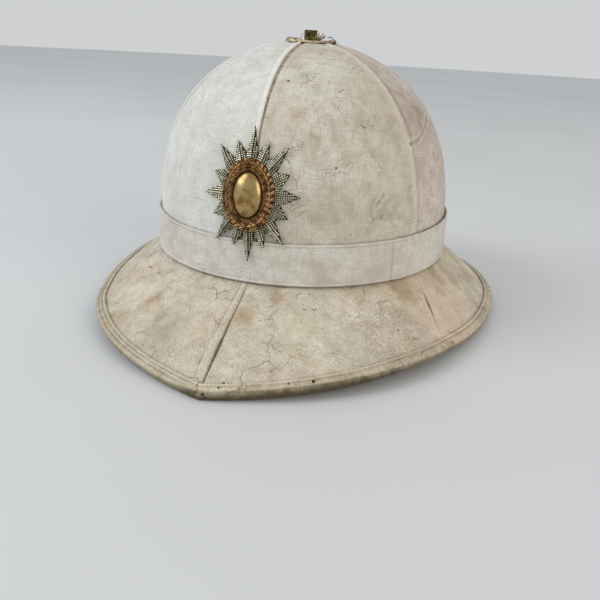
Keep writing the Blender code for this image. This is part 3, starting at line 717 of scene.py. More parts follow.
def panel(rows, line, gap, first, last, fine, count):
    """A cloth panel between two seams. line gives the points of a row at some turns, and gap half the
    gap at a seam. Returns the points, the places across each row and their distance from each seam."""
    grids = [], [], [], []
    for row, share in rows:
        run = running(line(fine, row))
        start, end = gap(first, share), run[-1] - gap(last, share)
        places = start + spread(end - start, count)
        made = line(np.interp(places, run, fine), row), places - run[-1] / 2, places - start, end - places
        for grid, values in zip(grids, made):
            grid.append(values)
    return (np.array(grid) for grid in grids)


def even_climbs(low, high, turn=1.0):
    """Climbs from low to high whose points lie a row step apart."""
    fine = np.linspace(low, high, 600)
    along = running(crown(turn, fine))
    count = int(along[-1] / ROW_STEP) + 1
    return np.interp(np.linspace(0, along[-1], count), along, fine), np.linspace(0, along[-1], count)


def seam_gap(seam, share):
    """Half the gap at a crown seam. The front one has opened towards the top."""
    if seam:
        return 0.04 * MM
    return (0.25 + 0.75 * ease(0.35, 0.85, share)) * MM


def seam_relief(seam, side, distance, share):
    """The welt along one side of a seam. side is 1 towards the wearer's left of it."""
    edge = turned_edge(distance, 0.45, 0.9)
    if seam == 0 and side < 0:
        wide = (4.6 - 1.6 * share) * MM
        strip = 0.5 * MM * (1 - ease(wide - 0.5 * MM, wide + 0.6 * MM, distance))
        return edge + strip - 0.22 * MM * hump(distance, wide + 1.1 * MM, 0.8 * MM)
    if seam == 0:
        return edge + 0.15 * MM * ripple(distance, 1.5, 1.0)
    ridge = 0.85 * MM * ripple(distance, 0, 2.2)
    creases = ripple(distance, 3.6, 0.4) + ripple(distance, 5.4, 0.4)
    deep = 1 + 0.8 * hump(share, 0.6, 0.14)
    return edge * 0.2 + ridge - 0.22 * MM * creases * deep * (1.0 if side > 0 else 0.2)


def seam_dirt_and_painted_light(seam, side, distance, share):
    """Painted shade with dirt in a seam's gap, painted shade in its grooves, and painted highlight with
    rubbed-up chalk on its ridge, which counts below zero.
    """
    if seam == 0:
        chalk_and_highlight = ripple(distance, 1.6, 1.2) * (0.7 if side < 0 else 0.2)
        return 0.30 * ripple(distance, 0, 0.5) * ease(0.45, 0.8, share) - chalk_and_highlight
    grooves = 0.34 * (ripple(distance, 3.6, 0.6) + ripple(distance, 5.4, 0.5))
    grooves = grooves * (1 + hump(share, 0.6, 0.14))
    return grooves * (side > 0) - 0.38 * ripple(distance, 0, 2.4)


def make_gore(name, first, last, tone):
    climbs, along = even_climbs(climb_to_height(0.0007), climb_to_radius(FLANGE_RADIUS + COLLET_CLEARANCE))
    fine, share = np.radians(np.linspace(first, last, 61)), along / along[-1]
    rows = zip(climbs, share)
    points, across, nears, fars = panel(rows, crown, seam_gap, first, last, fine, GORE_COLUMNS)
    flats = np.stack(np.broadcast_arrays(across, along[:, None]), axis=-1)
    share = share[:, None]
    over_band = ease(BAND_TOP + 1 * MM, BAND_TOP + 5 * MM, points[..., 2] - FOOT_HEIGHT)
    relief = 0.22 * MM * lumps(points, 0.024, 4.0) + 0.07 * MM * lumps(points, 0.007)
    relief += seam_relief(first, 1, nears, share) + seam_relief(last, -1, fars, share)
    relief = relief * over_band - 0.1 * MM * (1 - over_band)
    dirt_and_painted_light = seam_dirt_and_painted_light(first, 1, nears, share) + seam_dirt_and_painted_light(last, -1, fars, share)
    mean, change = (BAND_HEIGHT_FRONT + BAND_HEIGHT_BACK) / 2, (BAND_HEIGHT_FRONT - BAND_HEIGHT_BACK) / 2
    band_top = mean + change * np.cos(np.arctan2(points[..., 0], -points[..., 1]))
    # painted shade with dust along the hatband's top edge, then darker along the gore's top end
    dirt_and_painted_light += 0.42 * hump(points[..., 2] - FOOT_HEIGHT - band_top, 0, 0.8 * MM)
    dirt_and_painted_light += 0.4 * hump(share, 1.0, 0.012)
    for path, depth, width in FOLDS.get(name, ()):
        away = path_distance(points, path)
        relief -= depth * hump(away, 0, width) - depth * 0.5 * hump(away, 2.2 * width, width)
        # painted shade in the fold and painted highlight beside it
        dirt_and_painted_light += 0.6 * ripple(away, 0, 0.8) - 0.3 * ripple(away, 2.2, 1.0)
    mesh = sheet(f"gore_{name}", points, relief, COVER_CLOTH, flats, np.clip(dirt_and_painted_light, -1, 1))
    made = piece(f"gore_{name}", mesh, COTTON[tone], "crown_cloth", f"crown_panel_{name}")
    cut(made, points, False, "stretched", "cork_shell")


for row in GORES:
    make_gore(*row)

# %% [markdown]
# Under the open seams lies bare brown cloth. It is a thin strip between the cover and the cork,
# so it only shows as a line of colour at the bottom of each gap, as on the real helmet.

# %% The cloth under the seams
TAPE_WIDTH, TAPE_WALL = 12 * MM, 0.12 * MM
TAPE_DEPTH = COVER_CLOTH + 0.05 * MM


def tape(name, points, across, along, slot):
    flat = np.stack(np.meshgrid(across, along), axis=-1)
    nothing = np.zeros(points.shape[:2])
    made = piece(name, sheet(name, points, nothing, TAPE_WALL, flat, nothing), SEAM_CLOTH, slot)
    cut(made, points, False, "stretched", "cork_shell")


def crown_tape(name, seam):
    climbs, along = even_climbs(climb_to_height(0.03), climb_to_radius(FLANGE_RADIUS + COLLET_CLEARANCE))
    across = np.linspace(-TAPE_WIDTH / 2, TAPE_WIDTH / 2, 49)
    points = []
    for climb, length in zip(climbs, along):
        radius = np.linalg.norm(crown(math.radians(seam + 90), climb)[:2] - crown(0.0, math.pi / 2)[:2])
        turn = math.radians(seam) + across / max(radius, 0.01)
        gap = seam_gap(seam, length / along[-1])
        deep = TAPE_DEPTH - 0.65 * MM * (np.abs(across) < gap * 1.05)
        points.append(np.array([crown(t, climb, d) for t, d in zip(turn, deep)]))
    tape(name, np.array(points), across, along, "crown_cloth")


crown_tape("seam_cloth_crown_front", 0)

# %% [markdown]
# The brim's cover is four pieces, cut on the bias so that they stretch over the slope. The front
# seam is felled: one edge is folded over the other into a flat strip, with a dark gap beside it.
# The seam at the wearer's left has cracked open half way along.

# %% The brim's covers
SIDE_SEAM = 63
COVERS = (
    # name, first seam, last seam in degrees, columns between the seams
    ("front_left", 0, SIDE_SEAM, 60),
    ("back_left", SIDE_SEAM, 180, 110),
    ("back_right", -180, -SIDE_SEAM, 110),
    ("front_right", -SIDE_SEAM, 0, 60),
)
BRIM_ROWS = 42
TUCK, BIAS = 0.12, 0.7071
FELLED_TOP, FELLED_FOOT = 2.8 * MM, 6.0 * MM


def brim_gap(seam, share):
    """Half the gap at a brim seam: open along the front, cracked in the middle of the wearer's left."""
    if seam == 0:
        return (0.04 + 0.16 * ease(0.25, 0.5, share) + 0.30 * hump(share, 0.72, 0.12)) * MM
    if seam == SIDE_SEAM:
        return (0.02 + 0.42 * hump(share, 0.52, 0.16)) * MM
    return 0.05 * MM


def brim_seam_relief(seam, side, distance, share):
    edge = turned_edge(distance, 0.45, 0.7)
    if seam == 0 and side < 0:
        wide = FELLED_TOP + (FELLED_FOOT - FELLED_TOP) * share
        strip = 0.65 * MM * (1 - ease(wide - 0.4 * MM, wide + 0.3 * MM, distance))
        groove = 0.30 * MM * hump(distance, wide + 0.7 * MM, 0.5 * MM)
        fold = hump(distance, wide * 0.5, 0.5 * MM) * ease(0.45, 0.7, share)
        return edge + strip - groove + 0.30 * MM * fold - 0.2 * MM * hump(distance, wide * 0.72, 0.35 * MM)
    if seam == 0:
        return edge - 0.15 * MM * ripple(distance, 2.5, 1.0)
    if seam == SIDE_SEAM:
        return edge * hump(share, 0.55, 0.30) + 0.35 * MM * ripple(distance, 1.5, 1.6)
    return edge * 0.5 + 0.25 * MM * ripple(distance, 2.2, 1.6)


def brim_seam_dirt_and_painted_light(seam, side, distance, share):
    # Painted shade with dirt along each seam's gap; at the felled strip, painted shade in its groove and
    # painted highlight on its top.
    near = ripple(distance, 0, 0.6)
    if seam == 0:
        wide = FELLED_TOP + (FELLED_FOOT - FELLED_TOP) * share
        groove, top = wide + 0.7 * MM, wide - 0.5 * MM
        fold = 0.42 * hump(distance, groove, 0.5 * MM) - 0.45 * hump(distance, top, 0.6 * MM)
        fold = fold if side < 0 else 0
        return (0.30 + 0.45 * hump(share, 0.7, 0.2)) * near + fold
    if seam == SIDE_SEAM:
        return (0.05 + 0.75 * hump(share, 0.52, 0.22)) * near
    return 0.25 * near


def cover_line(turn, share):
    """One line of a cover. Above 1 it runs on under the binding, towards the brim's end."""
    if share > 1:
        return at_turn(KNEE, turn) + (at_turn(END, turn) - at_turn(KNEE, turn)) * (share - 1) / TUCK
    return brim(turn, share)


def make_cover(name, first, last, columns):
    fine = np.radians(np.linspace(first, last, 181))
    levels = np.concatenate([[1.12, 1.06], np.linspace(1, 0, BRIM_ROWS)])
    rows = zip(levels, levels)
    points, across, nears, fars = panel(rows, cover_line, brim_gap, first, last, fine, columns)
    share = levels[:, None]
    flats = np.stack([across + FRONT_REACH * share, across - FRONT_REACH * share], axis=-1) * BIAS
    free = ease(0.02, 0.10, share) * (1 - ease(0.97, 1.0, share))
    relief = 0.22 * MM * lumps(points, 0.014, 2.0) + 0.12 * MM * lumps(points, 0.005)
    relief += brim_seam_relief(first, 1, nears, share) + brim_seam_relief(last, -1, fars, share)
    flaked = hump(np.linalg.norm(points - np.array(FLAKED), axis=-1), 0, FLAKED_SPREAD)
    relief += 0.35 * MM * flaked * lumps(points, 0.0038, 5.0)
    relief = relief * free - 0.15 * MM * ease(0.97, 1.0, share)
    dirt_and_painted_light = brim_seam_dirt_and_painted_light(first, 1, nears, share) + brim_seam_dirt_and_painted_light(last, -1, fars, share)
    # painted shade along the cover's edges, where the binding and the hatband lie over it
    dirt_and_painted_light += 0.14 * hump(share, 1.0, 0.02) + 0.22 * hump(share, 0.0, 0.05)
    mesh = sheet(f"brim_cloth_{name}", points, relief, COVER_CLOTH, flats, np.clip(dirt_and_painted_light, -1, 1))
    made = piece(f"brim_cloth_{name}", mesh, COTTON["brim"], "brim_cloth", f"brim_cover_{name}")
    cut(made, points, False, "stretched", "cork_shell")


for row in COVERS:
    make_cover(*row)


def brim_tape(name, seam):
    across = np.linspace(-TAPE_WIDTH / 2, TAPE_WIDTH / 2, 7)
    shares = np.linspace(0.98, 0.02, 30)
    turns = [math.radians(seam) + across / (0.1 + 0.05 * share) for share in shares]
    points = np.array([brim(turn, share, TAPE_DEPTH, TAPE_DEPTH) for turn, share in zip(turns, shares)])
    tape(name, points, across, shares * FRONT_REACH, "brim_cloth")


brim_tape("seam_cloth_brim_front", 0)
brim_tape("seam_cloth_brim_left", SIDE_SEAM)

# %% [markdown]
# A strip of cloth is folded round the brim's edge and sewn down. Whitening has built up on it in
# lumps, it has two fold lines along the wearer's right, and it is mitred at the tip. It is a C in
# section that runs right round, so one closed grid holds it.

# %% The edge binding
BINDING_STEPS = 900
MITRE, TIP_RADIUS = math.radians(-0.7), 0.17


def make_binding():
    angles = np.radians(np.linspace(-180, 180, BINDING_STEPS, endpoint=False))
    outer, inner = OUTLINE[::-1], binding_outline(BINDING_CLOTH)[::-1]
    front = np.array([[edge_point(a, u, n) for a in angles] for u, n in outer])
    back = np.array([[edge_point(a, u, n) for a in angles] for u, n in inner])
    fold = running(np.array(outer))
    fold = (fold[-1] - fold)[:, None]
    along = running(front[-1], closed=True)
    degrees = np.degrees(angles)[None, :]
    top = 1 - ease(0.0062, 0.0085, fold)
    left_side = ease(2, 8, degrees) * (1 - ease(80, 110, degrees))
    right_side = (1 - ease(-6, -2, degrees)) * ease(-110, -80, degrees)
    relief = 0.16 * MM * lumps(front, 0.006, 1.0) + 0.10 * MM * lumps(front, 0.0025, 3.0)
    relief *= 0.6 + 0.9 * hump(degrees, 52, 14)
    relief = relief * (0.35 + 0.65 * top) + turned_edge(fold, 0.60, 0.9)
    relief += 0.35 * MM * ripple(fold, 1.1, 0.7) * (0.3 + 0.7 * left_side)
    relief -= 0.28 * MM * ripple(fold, 2.0, 0.35) * (0.4 + 0.6 * left_side + 0.2 * right_side)
    relief += 0.30 * MM * ripple(fold, 3.2, 0.6) * right_side
    relief -= 0.32 * MM * ripple(fold, 4.3, 0.4) * right_side
    slant = (angles[None, :] - MITRE - (fold - 3 * MM) * 2.0) * TIP_RADIUS
    relief -= 0.5 * MM * ripple(slant, 0, 0.45) * top
    under = ease(0.0105, 0.0125, fold)
    relief = relief * (1 - under)
    normal = normals_of(front, True)
    front = front + normal * relief[..., None]
    near_tip = ease(-7, 1, degrees) * (1 - ease(16, 52, degrees))
    sides = 1 - hump(degrees, 5, 55)
    # The edge face looks down, so it is darkened with painted shade as well as dirt, most at the tip and
    # more towards the underside; the mitre's crack is darkened with painted shade.
    face = ease(-0.6 * MM, 0.6 * MM, fold - (7.0 - 2.0 * near_tip) * MM)
    under_shade_and_dirt = 0.70 + 0.45 * ease(5 * MM, 10 * MM, fold) + 0.30 * lumps(front, 0.006, 9.0)
    dirt_and_painted_light = face * (0.5 + 0.6 * near_tip) * under_shade_and_dirt + 0.5 * ripple(slant, 0, 0.5) * top
    # At the inner edge, painted shade at the tip and painted highlight at the sides; along the folds,
    # painted highlight on each ridge and painted shade in each groove. The dark spot at 55 degrees is dirt.
    dirt_and_painted_light = dirt_and_painted_light + (0.14 - 0.6 * sides) * ripple(fold, 0, 0.6) + 0.42 * ripple(fold, 2.1, 0.4)
    dirt_and_painted_light = dirt_and_painted_light - 0.6 * ripple(fold, 1.1, 0.6) - 0.45 * ripple(fold, 3.2, 0.6) * right_side
    dirt_and_painted_light = dirt_and_painted_light + 0.45 * ripple(fold, 4.3, 0.4) * right_side
    dirt_and_painted_light = dirt_and_painted_light + 0.8 * hump(degrees, 55, 0.6) * ripple(fold, 5.5, 1.4)
    flats = np.stack(np.broadcast_arrays(along[None, :], fold), axis=-1)
    mesh = shell("edge_binding_cloth", front, back, flats, np.clip(dirt_and_painted_light, -0.3, 1.4), around=True)
    made = piece("edge_binding_cloth", mesh, COTTON["binding"], "binding_cloth", "edge_binding")
    cut(made, front, True, "folded", "cork_shell", "brim_cloth_front_left", "brim_cloth_front_right")
    return front, normal, fold[:, 0]


RIM_FRONT, RIM_NORMAL, RIM_FOLD = make_binding()

# %% [markdown]
# The hatband is a straight strip with turned edges, lapped over itself at the wearer's left.
# It bulges a little over the foot of the crown and stands off it at the top, where dust collects.
# The dark line along its top is painted shade as well as dust.

# %% The hatband
BAND_STEPS, BAND_ROWS = 640, 30
BAND_LAP = 50.0


def make_hatband():
    turn = np.radians(np.linspace(-180, 180, BAND_STEPS, endpoint=False))
    middle = (BAND_HEIGHT_FRONT + BAND_HEIGHT_BACK) / 2
    tall = middle + (BAND_HEIGHT_FRONT - BAND_HEIGHT_BACK) / 2 * np.cos(turn)
    edges = np.array((0, 0.25, 0.55, 0.9, 1.3, 1.7, 2.1, 2.6, 3.3)) * MM
    rise = np.linspace(0, 1, BAND_ROWS - 2 * len(edges) + 2)[1:-1]
    rows = [edge + 0 * turn for edge in edges]
    rows += [edges[-1] + (tall - 2 * edges[-1]) * r for r in rise]
    rows += [tall - edge for edge in edges[::-1]]
    height = np.array(rows)
    climb = climb_to_height(height * (1 - BAND_FOOT_GAP / tall) + BAND_FOOT_GAP)
    points = crown(turn[None, :], climb, -LAYER_GAP - BAND_CLOTH)
    top, foot = tall - height, height
    degrees = np.degrees(turn)[None, :]
    relief = 0.15 * MM * lumps(points, 0.020, 7.0) + 0.05 * MM * lumps(points, 0.005)
    for edge in (top, foot):
        relief += turned_edge(edge, 0.55, 0.8)
        relief += 0.22 * MM * ripple(edge, 1.1, 0.6) - 0.2 * MM * ripple(edge, 2.1, 0.3)
    lap = ease(BAND_LAP - 0.25, BAND_LAP + 0.25, degrees) * (1 - ease(BAND_LAP + 5, BAND_LAP + 14, degrees))
    relief += 0.35 * MM * lap - 0.25 * MM * hump(degrees, BAND_LAP - 0.3, 0.35)
    pull = hump(degrees + height / MM * 0.5, 51, 1.4) + hump(degrees + height / MM * 0.4, 44, 1.2)
    relief += 0.22 * MM * pull * ease(0.2, 0.5, height / tall) * (1 - ease(0.7, 0.9, height / tall))
    right = ease(45, 75, degrees)
    # Painted shade in the groove under the top edge, along the foot, along the top edge with dust (most at
    # the right) and at the lap's edge; painted highlight on the ridge under the top edge.
    dirt_and_painted_light = 0.28 * ripple(top, 2.1, 0.35) + 0.45 * ripple(foot, 0, 0.7)
    dirt_and_painted_light = dirt_and_painted_light - 0.5 * ripple(top, 1.0, 0.6)
    dirt_and_painted_light = dirt_and_painted_light + (0.45 + 0.45 * right) * ripple(top, 0, 0.6) + 0.45 * hump(degrees, BAND_LAP - 0.3, 0.3)
    along = running(points[0], closed=True)
    tall_rows = np.concatenate([height, height[:, :1]], axis=1)
    flats = np.stack(np.broadcast_arrays(along[None, :], tall_rows), axis=-1)
    mesh = sheet("hatband_cloth", points, relief, BAND_CLOTH, flats, np.clip(dirt_and_painted_light, 0, 1), around=True)
    made = piece("hatband_cloth", mesh, COTTON["band"], "crown_cloth", "hatband")
    cut(made, points, True, "stretched", "gore_front_left", "gore_front_right")
    row = int(np.argmin(np.abs(top[:, 0] - 2.1 * MM)))
    normal = normals_of(points, True)[row]
    return points[row] + normal * relief[row][:, None], normal


BAND_LINE, BAND_NORMAL = make_hatband()

# %% [markdown]
# The cork body shows only from below, where a thin cotton lining is pasted to it. It is one shell
# from the brim's edge, up over the crown and round the ventilator hole.

# %% The cork body and its lining
CORK_STEPS = 240


def make_cork():
    turn = np.radians(np.linspace(-180, 180, CORK_STEPS, endpoint=False))
    outer = [below(END, END_BELOW, turn, CORK_INSET)]
    inner = [below(END, END_BELOW, turn, CORK_INSET + CORK_EDGE_WALL)]
    for share in np.linspace(1, 0, 22):
        wall = CORK_WALL + (CORK_EDGE_WALL - CORK_WALL) * share
        outer.append(brim(turn, share, CORK_INSET, CORK_INSET))
        inner.append(brim(turn, share, CORK_INSET + wall, CORK_INSET + wall))
    climbs, _ = even_climbs(0.06, climb_to_radius(COLLET_RADIUS + COLLET_CLEARANCE))
    for climb in climbs[::2]:
        outer.append(crown(turn, climb, CORK_INSET))
        inner.append(crown(turn, climb, CORK_INSET + CORK_WALL))
    outer, inner = np.array(outer), np.array(inner)
    wrinkle = 0.18 * MM * lumps(inner, 0.012, 9.0) + 0.08 * MM * lumps(inner, 0.004, 2.0)
    wrinkle[0] = 0
    inner = inner - normals_of(inner, True) * wrinkle[..., None]
    along = np.linspace(0, 0.2, len(outer))
    flats = np.stack(np.meshgrid(np.linspace(0, 0.9, CORK_STEPS + 1), along), axis=-1)
    nothing = np.zeros(outer.shape[:2])
    mesh = shell("cork_shell", outer, inner, flats, nothing, around=True)
    piece("cork_shell", mesh, LINING, "lined_cork", "cork_body")


make_cork()

# %% [markdown]
# The badge is generic: a star of cut rays in white metal under a gilt wreath with a plain dome.
# The rays are cut into rows of small beads, bright on top and black between. The plate is one
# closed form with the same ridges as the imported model, and the beads stand on it.

# %% The badge's own surface
BADGE_HEIGHT, BADGE_WIDTH, BADGE_CENTRE = 0.0735, 0.056, 0.051
BADGE_SHIFT, BADGE_ASKEW = -0.0012, math.radians(2)
BADGE_PLATE, BADGE_RIDGE, BADGE_RAYS = 0.0011, 0.0016, 16
SHORT_RAY, RAY_NOTCH = 0.84, 0.62
BEND_ACROSS, BEND_UP, BEND_DOWN = 0.095, 0.130, 0.900
WREATH_HEIGHT, WREATH_WIDTH, WREATH_BREADTH, WREATH_RELIEF = 0.040, 0.031, 0.0062, 0.0026
BOSS_HEIGHT, BOSS_WIDTH, BOSS_RELIEF, BOSS_EDGE = 0.0245, 0.0165, 0.0042, 0.0008
BADGE_TOP = BADGE_PLATE + BADGE_RIDGE
CENTRE_CLIMB = climb_to_height(BADGE_CENTRE)
CENTRE = Vector(crown(0.0, CENTRE_CLIMB))
RISE = Vector(crown(0.0, CENTRE_CLIMB + 0.017) - crown(0.0, CENTRE_CLIMB - 0.017)).normalized()
OUTWARD = Vector((1, 0, 0)).cross(RISE)


def badge_point(across, up, proud):
    """A point of the badge, slightly askew and bent to follow the crown."""
    across, up = (
        across * math.cos(BADGE_ASKEW) - up * math.sin(BADGE_ASKEW) + BADGE_SHIFT,
        across * math.sin(BADGE_ASKEW) + up * math.cos(BADGE_ASKEW),
    )
    bend = across**2 / (2 * BEND_ACROSS) + up**2 / (2 * (BEND_UP if up > 0 else BEND_DOWN))
    return CENTRE + Vector((across, 0, 0)) + RISE * up + OUTWARD * (LAYER_GAP + proud - bend)


def oval(angle, width, height):
    return width / 2 * math.sin(angle), height / 2 * math.cos(angle)


def solid(rings, dirt_and_painted_light, middles=()):
    """A closed form through rings of points, the ends closed with fans, or joined if there are none."""
    count, across = len(rings), len(rings[0])
    points = [p for ring in rings for p in ring] + list(middles)
    faces = []
    for i in range(count - 1 if middles else count):
        for j in range(across):
            a, b = i * across, (i + 1) % count * across
            k = (j + 1) % across
            faces.append((a + j, a + k, b + k, b + j))
    if middles:
        last = (count - 1) * across
        faces += [((j + 1) % across, j, count * across) for j in range(across)]
        faces += [(last + j, last + (j + 1) % across, count * across + 1) for j in range(across)]
    return points, faces, list(dirt_and_painted_light)


def joined(name, parts, material, slot, *nodes):
    """One piece of the helmet from several (points, faces, dirt) parts."""
    points, faces, dirt_and_painted_light = [], [], []
    for some, their_faces, their_dirt in parts:
        start = len(points)
        points += some
        faces += [[start + k for k in face] for face in their_faces]
        dirt_and_painted_light += their_dirt
    mesh = bpy.data.meshes.new(name)
    mesh.from_pydata([tuple(p) for p in points], [], faces)
    piece(name, marked(mesh, dirt_and_painted_light, SHARP_METAL), material, slot, *nodes)


print("the badge stands", round(CENTRE.z / MM), "mm above the floor")


# %% The star
BEAD, BEAD_TALL = 1.15 * MM, 0.5 * MM
LUG_RADIUS, LUG_SPACING, LUG_TAIL = 1.1 * MM, 30 * MM, 1.5 * MM


def star_outline():
    points = []
    for k in range(2 * BADGE_RAYS):
        length = RAY_NOTCH if k % 2 else (SHORT_RAY if k % 4 else 1.0)
        points.append(oval(math.pi * k / BADGE_RAYS, BADGE_WIDTH * length, BADGE_HEIGHT * length))
    return points


OUTLINE_POINTS = star_outline()


def star_place(across, up):
    """How far out a point lies towards the star's outline, and how near to a ray's ridge, each 0 to 1."""
    for k in range(2 * BADGE_RAYS):
        (ax, ay), (bx, by) = OUTLINE_POINTS[k], OUTLINE_POINTS[(k + 1) % (2 * BADGE_RAYS)]
        size = ax * by - ay * bx
        first, second = (across * by - up * bx) / size, (ax * up - ay * across) / size
        if first >= 0 and second >= 0:
            out = first + second
            return out, (second if k % 2 else first) / max(out, 1e-9)
    return 0.0, 1.0


def star_height(out, ridge):
    if out < RAY_NOTCH:
        return BADGE_PLATE + BADGE_RIDGE * (1 - out / RAY_NOTCH * (1 - ridge))
    share = (out - RAY_NOTCH) / (1 - RAY_NOTCH)
    return (BADGE_PLATE + BADGE_RIDGE * ridge) * (1 - share) + BADGE_PLATE / 2 * share


def star_plate():
    shares = [0.25, 0.5, 0.75, 1.0]
    rings = [[badge_point(a * s, u * s, 0) for a, u in OUTLINE_POINTS] for s in shares]
    for s in (1.0, 0.9, 0.8, 0.71, 0.62, 0.4):
        ring = []
        for a, u in OUTLINE_POINTS:
            proud = star_height(*star_place(a * s, u * s)) if s < 1 else BADGE_PLATE / 2
            ring.append(badge_point(a * s, u * s, proud))
        rings.append(ring)
    middles = (badge_point(0, 0, 0), badge_point(0, 0, BADGE_TOP))
    count = sum(len(ring) for ring in rings)
    return solid(rings, [1.0] * (count + 2), middles)


def bead(across, up, turn):
    """A cut bead on the star: a square stud with sloping sides, turned to run along its ray."""
    out, ridge = star_place(across, up)
    base = star_height(out, ridge)
    rings = []
    for size, proud in ((0.47, -0.15 * MM), (0.36, BEAD_TALL * 0.65), (0.14, BEAD_TALL)):
        ring = []
        for k in range(4):
            angle = turn + math.pi / 4 + k * math.pi / 2
            away = size * BEAD * math.sqrt(2)
            x, y = across + away * math.sin(angle), up + away * math.cos(angle)
            ring.append(badge_point(x, y, base + proud))
        rings.append(ring)
    points = [p for ring in rings for p in ring]
    sides = [(4 * i + j, 4 * i + (j + 1) % 4) for i in range(2) for j in range(4)]
    faces = [(b, a, a + 4, b + 4) for a, b in sides]
    faces += [(11, 10, 9, 8), (0, 1, 2, 3)]
    return points, [face[::-1] for face in faces], [0.95] * 4 + [0.25] * 4 + [0.0] * 4


def lug(up):
    """A plain pin behind the star, through the cloth and the cork to just inside the crown."""
    long = BADGE_PLATE / 2 + 2 * LAYER_GAP + COVER_CLOTH + CORK_WALL + LUG_TAIL
    start, side = badge_point(0, up, BADGE_PLATE / 2), RISE.cross(OUTWARD)
    rings = []
    for share, size in ((0, 1), (0.5, 1), (0.95, 1), (1, 0.8)):
        middle = start - OUTWARD * long * share
        turns, wide = [2 * math.pi * k / 20 for k in range(20)], LUG_RADIUS * size
        rings.append([middle + (side * math.cos(a) + RISE * math.sin(a)) * wide for a in turns])
    return solid(rings, [0.6] * 82, (start, start - OUTWARD * long))


def make_star():
    parts = [star_plate(), lug(LUG_SPACING / 2), lug(-LUG_SPACING / 2)]
    for k in range(BADGE_RAYS):
        turn = 2 * math.pi * k / BADGE_RAYS
        tip = oval(turn, BADGE_WIDTH, BADGE_HEIGHT)
        direction = math.atan2(tip[0], tip[1])
        along = math.sin(direction), math.cos(direction)
        side = along[1], -along[0]
        for i in range(1, 33):
            for j in range(-4, 5):
                across = along[0] * i * BEAD + side[0] * j * BEAD
                up = along[1] * i * BEAD + side[1] * j * BEAD
                if math.hypot(across / (WREATH_WIDTH / 2 - BEAD), up / (WREATH_HEIGHT / 2 - BEAD)) < 1:
                    continue
                out, _ = star_place(across, up)
                around = math.atan2(across / BADGE_WIDTH, up / BADGE_HEIGHT)
                off = abs((around - turn + math.pi) % (2 * math.pi) - math.pi)
                if out < 0.97 and off < math.pi / BADGE_RAYS:
                    parts.append(bead(across, up, direction))
    print("beads:", len(parts) - 3)
    joined("badge_star_cut", parts, WHITE_METAL, "white_metal", "badge_star")


make_star()

# %% [markdown]
# The wreath is two rows of small leaves on an oval band, with berries between them. Inside it lies
# a plain ring with a beaded border, and in the middle a smooth dome. All are struck in gilding
# metal, which has gone coppery on the wreath and greenish on the dome.

# %% The wreath, its ring and the dome
LEAVES = 34
LEAF_LONG, LEAF_WIDE = 4.6 * MM, 2.3 * MM


def leaf(across, up, direction, base, tall):
    """A pointed leaf with a raised midrib, lying on the badge."""
    places, dirt_and_painted_light, rows = [], [], 7
    for i in range(rows):
        t = i / (rows - 1)
        wide = LEAF_WIDE / 2 * math.sin(math.pi * min(1.0, 0.08 + 0.92 * t)) ** 0.7
        for j, side in enumerate((-1, -0.5, 0, 0.5, 1)):
            x = across + math.sin(direction) * t * LEAF_LONG + math.cos(direction) * side * wide
            y = up + math.cos(direction) * t * LEAF_LONG - math.sin(direction) * side * wide
            arch = tall * (math.sin(math.pi * (0.15 + 0.75 * t))) * (1 - 0.75 * abs(side)) + 0.1 * MM
            places.append(badge_point(x, y, base + arch))
            dirt_and_painted_light.append(0.12 + 0.88 * abs(side) ** 1.5)
        places.append(badge_point(across + math.sin(direction) * t * LEAF_LONG,
                                  up + math.cos(direction) * t * LEAF_LONG, base - 0.1 * MM))
        dirt_and_painted_light.append(1.0)
    faces = []
    for i in range(rows - 1):
        for j in range(6):
            a, b, k = 6 * i, 6 * i + 6, (j + 1) % 6
            faces.append((a + k, a + j, b + j, b + k))
    faces += [tuple(range(6)), tuple(range(6 * rows - 1, 6 * rows - 7, -1))]
    return places, [face[::-1] for face in faces], dirt_and_painted_light


def berry(across, up, base, radius, dark=0.1):
    """A small round berry or bead."""
    rings = []
    for climb in (-0.3, 0.25, 0.75, 1.15):
        ring = []
        for k in range(8):
            a = k * math.pi / 4
            reach = radius * math.cos(climb)
            x, y = across + reach * math.sin(a), up + reach * math.cos(a)
            ring.append(badge_point(x, y, base + radius * math.sin(climb)))
        rings.append(ring)
    middles = (badge_point(across, up, base - radius * 0.4), badge_point(across, up, base + radius))
    points, faces, _ = solid(rings, [], middles)
    return points, faces, [0.9] * 8 + [dark] * 24 + [0.9, dark]


def oval_ring(wide, tall, section, steps=96):
    """A closed oval ring. section is a list of (outward, proud, dirt) from its middle line."""
    rings, dirt_and_painted_light = [], []
    for k in range(steps):
        angle = 2 * math.pi * k / steps
        rings.append([badge_point(*oval(angle, wide + 2 * o, tall + 2 * o), p) for o, p, _ in section])
        dirt_and_painted_light += [d for _, _, d in section]
    return solid(rings, dirt_and_painted_light)


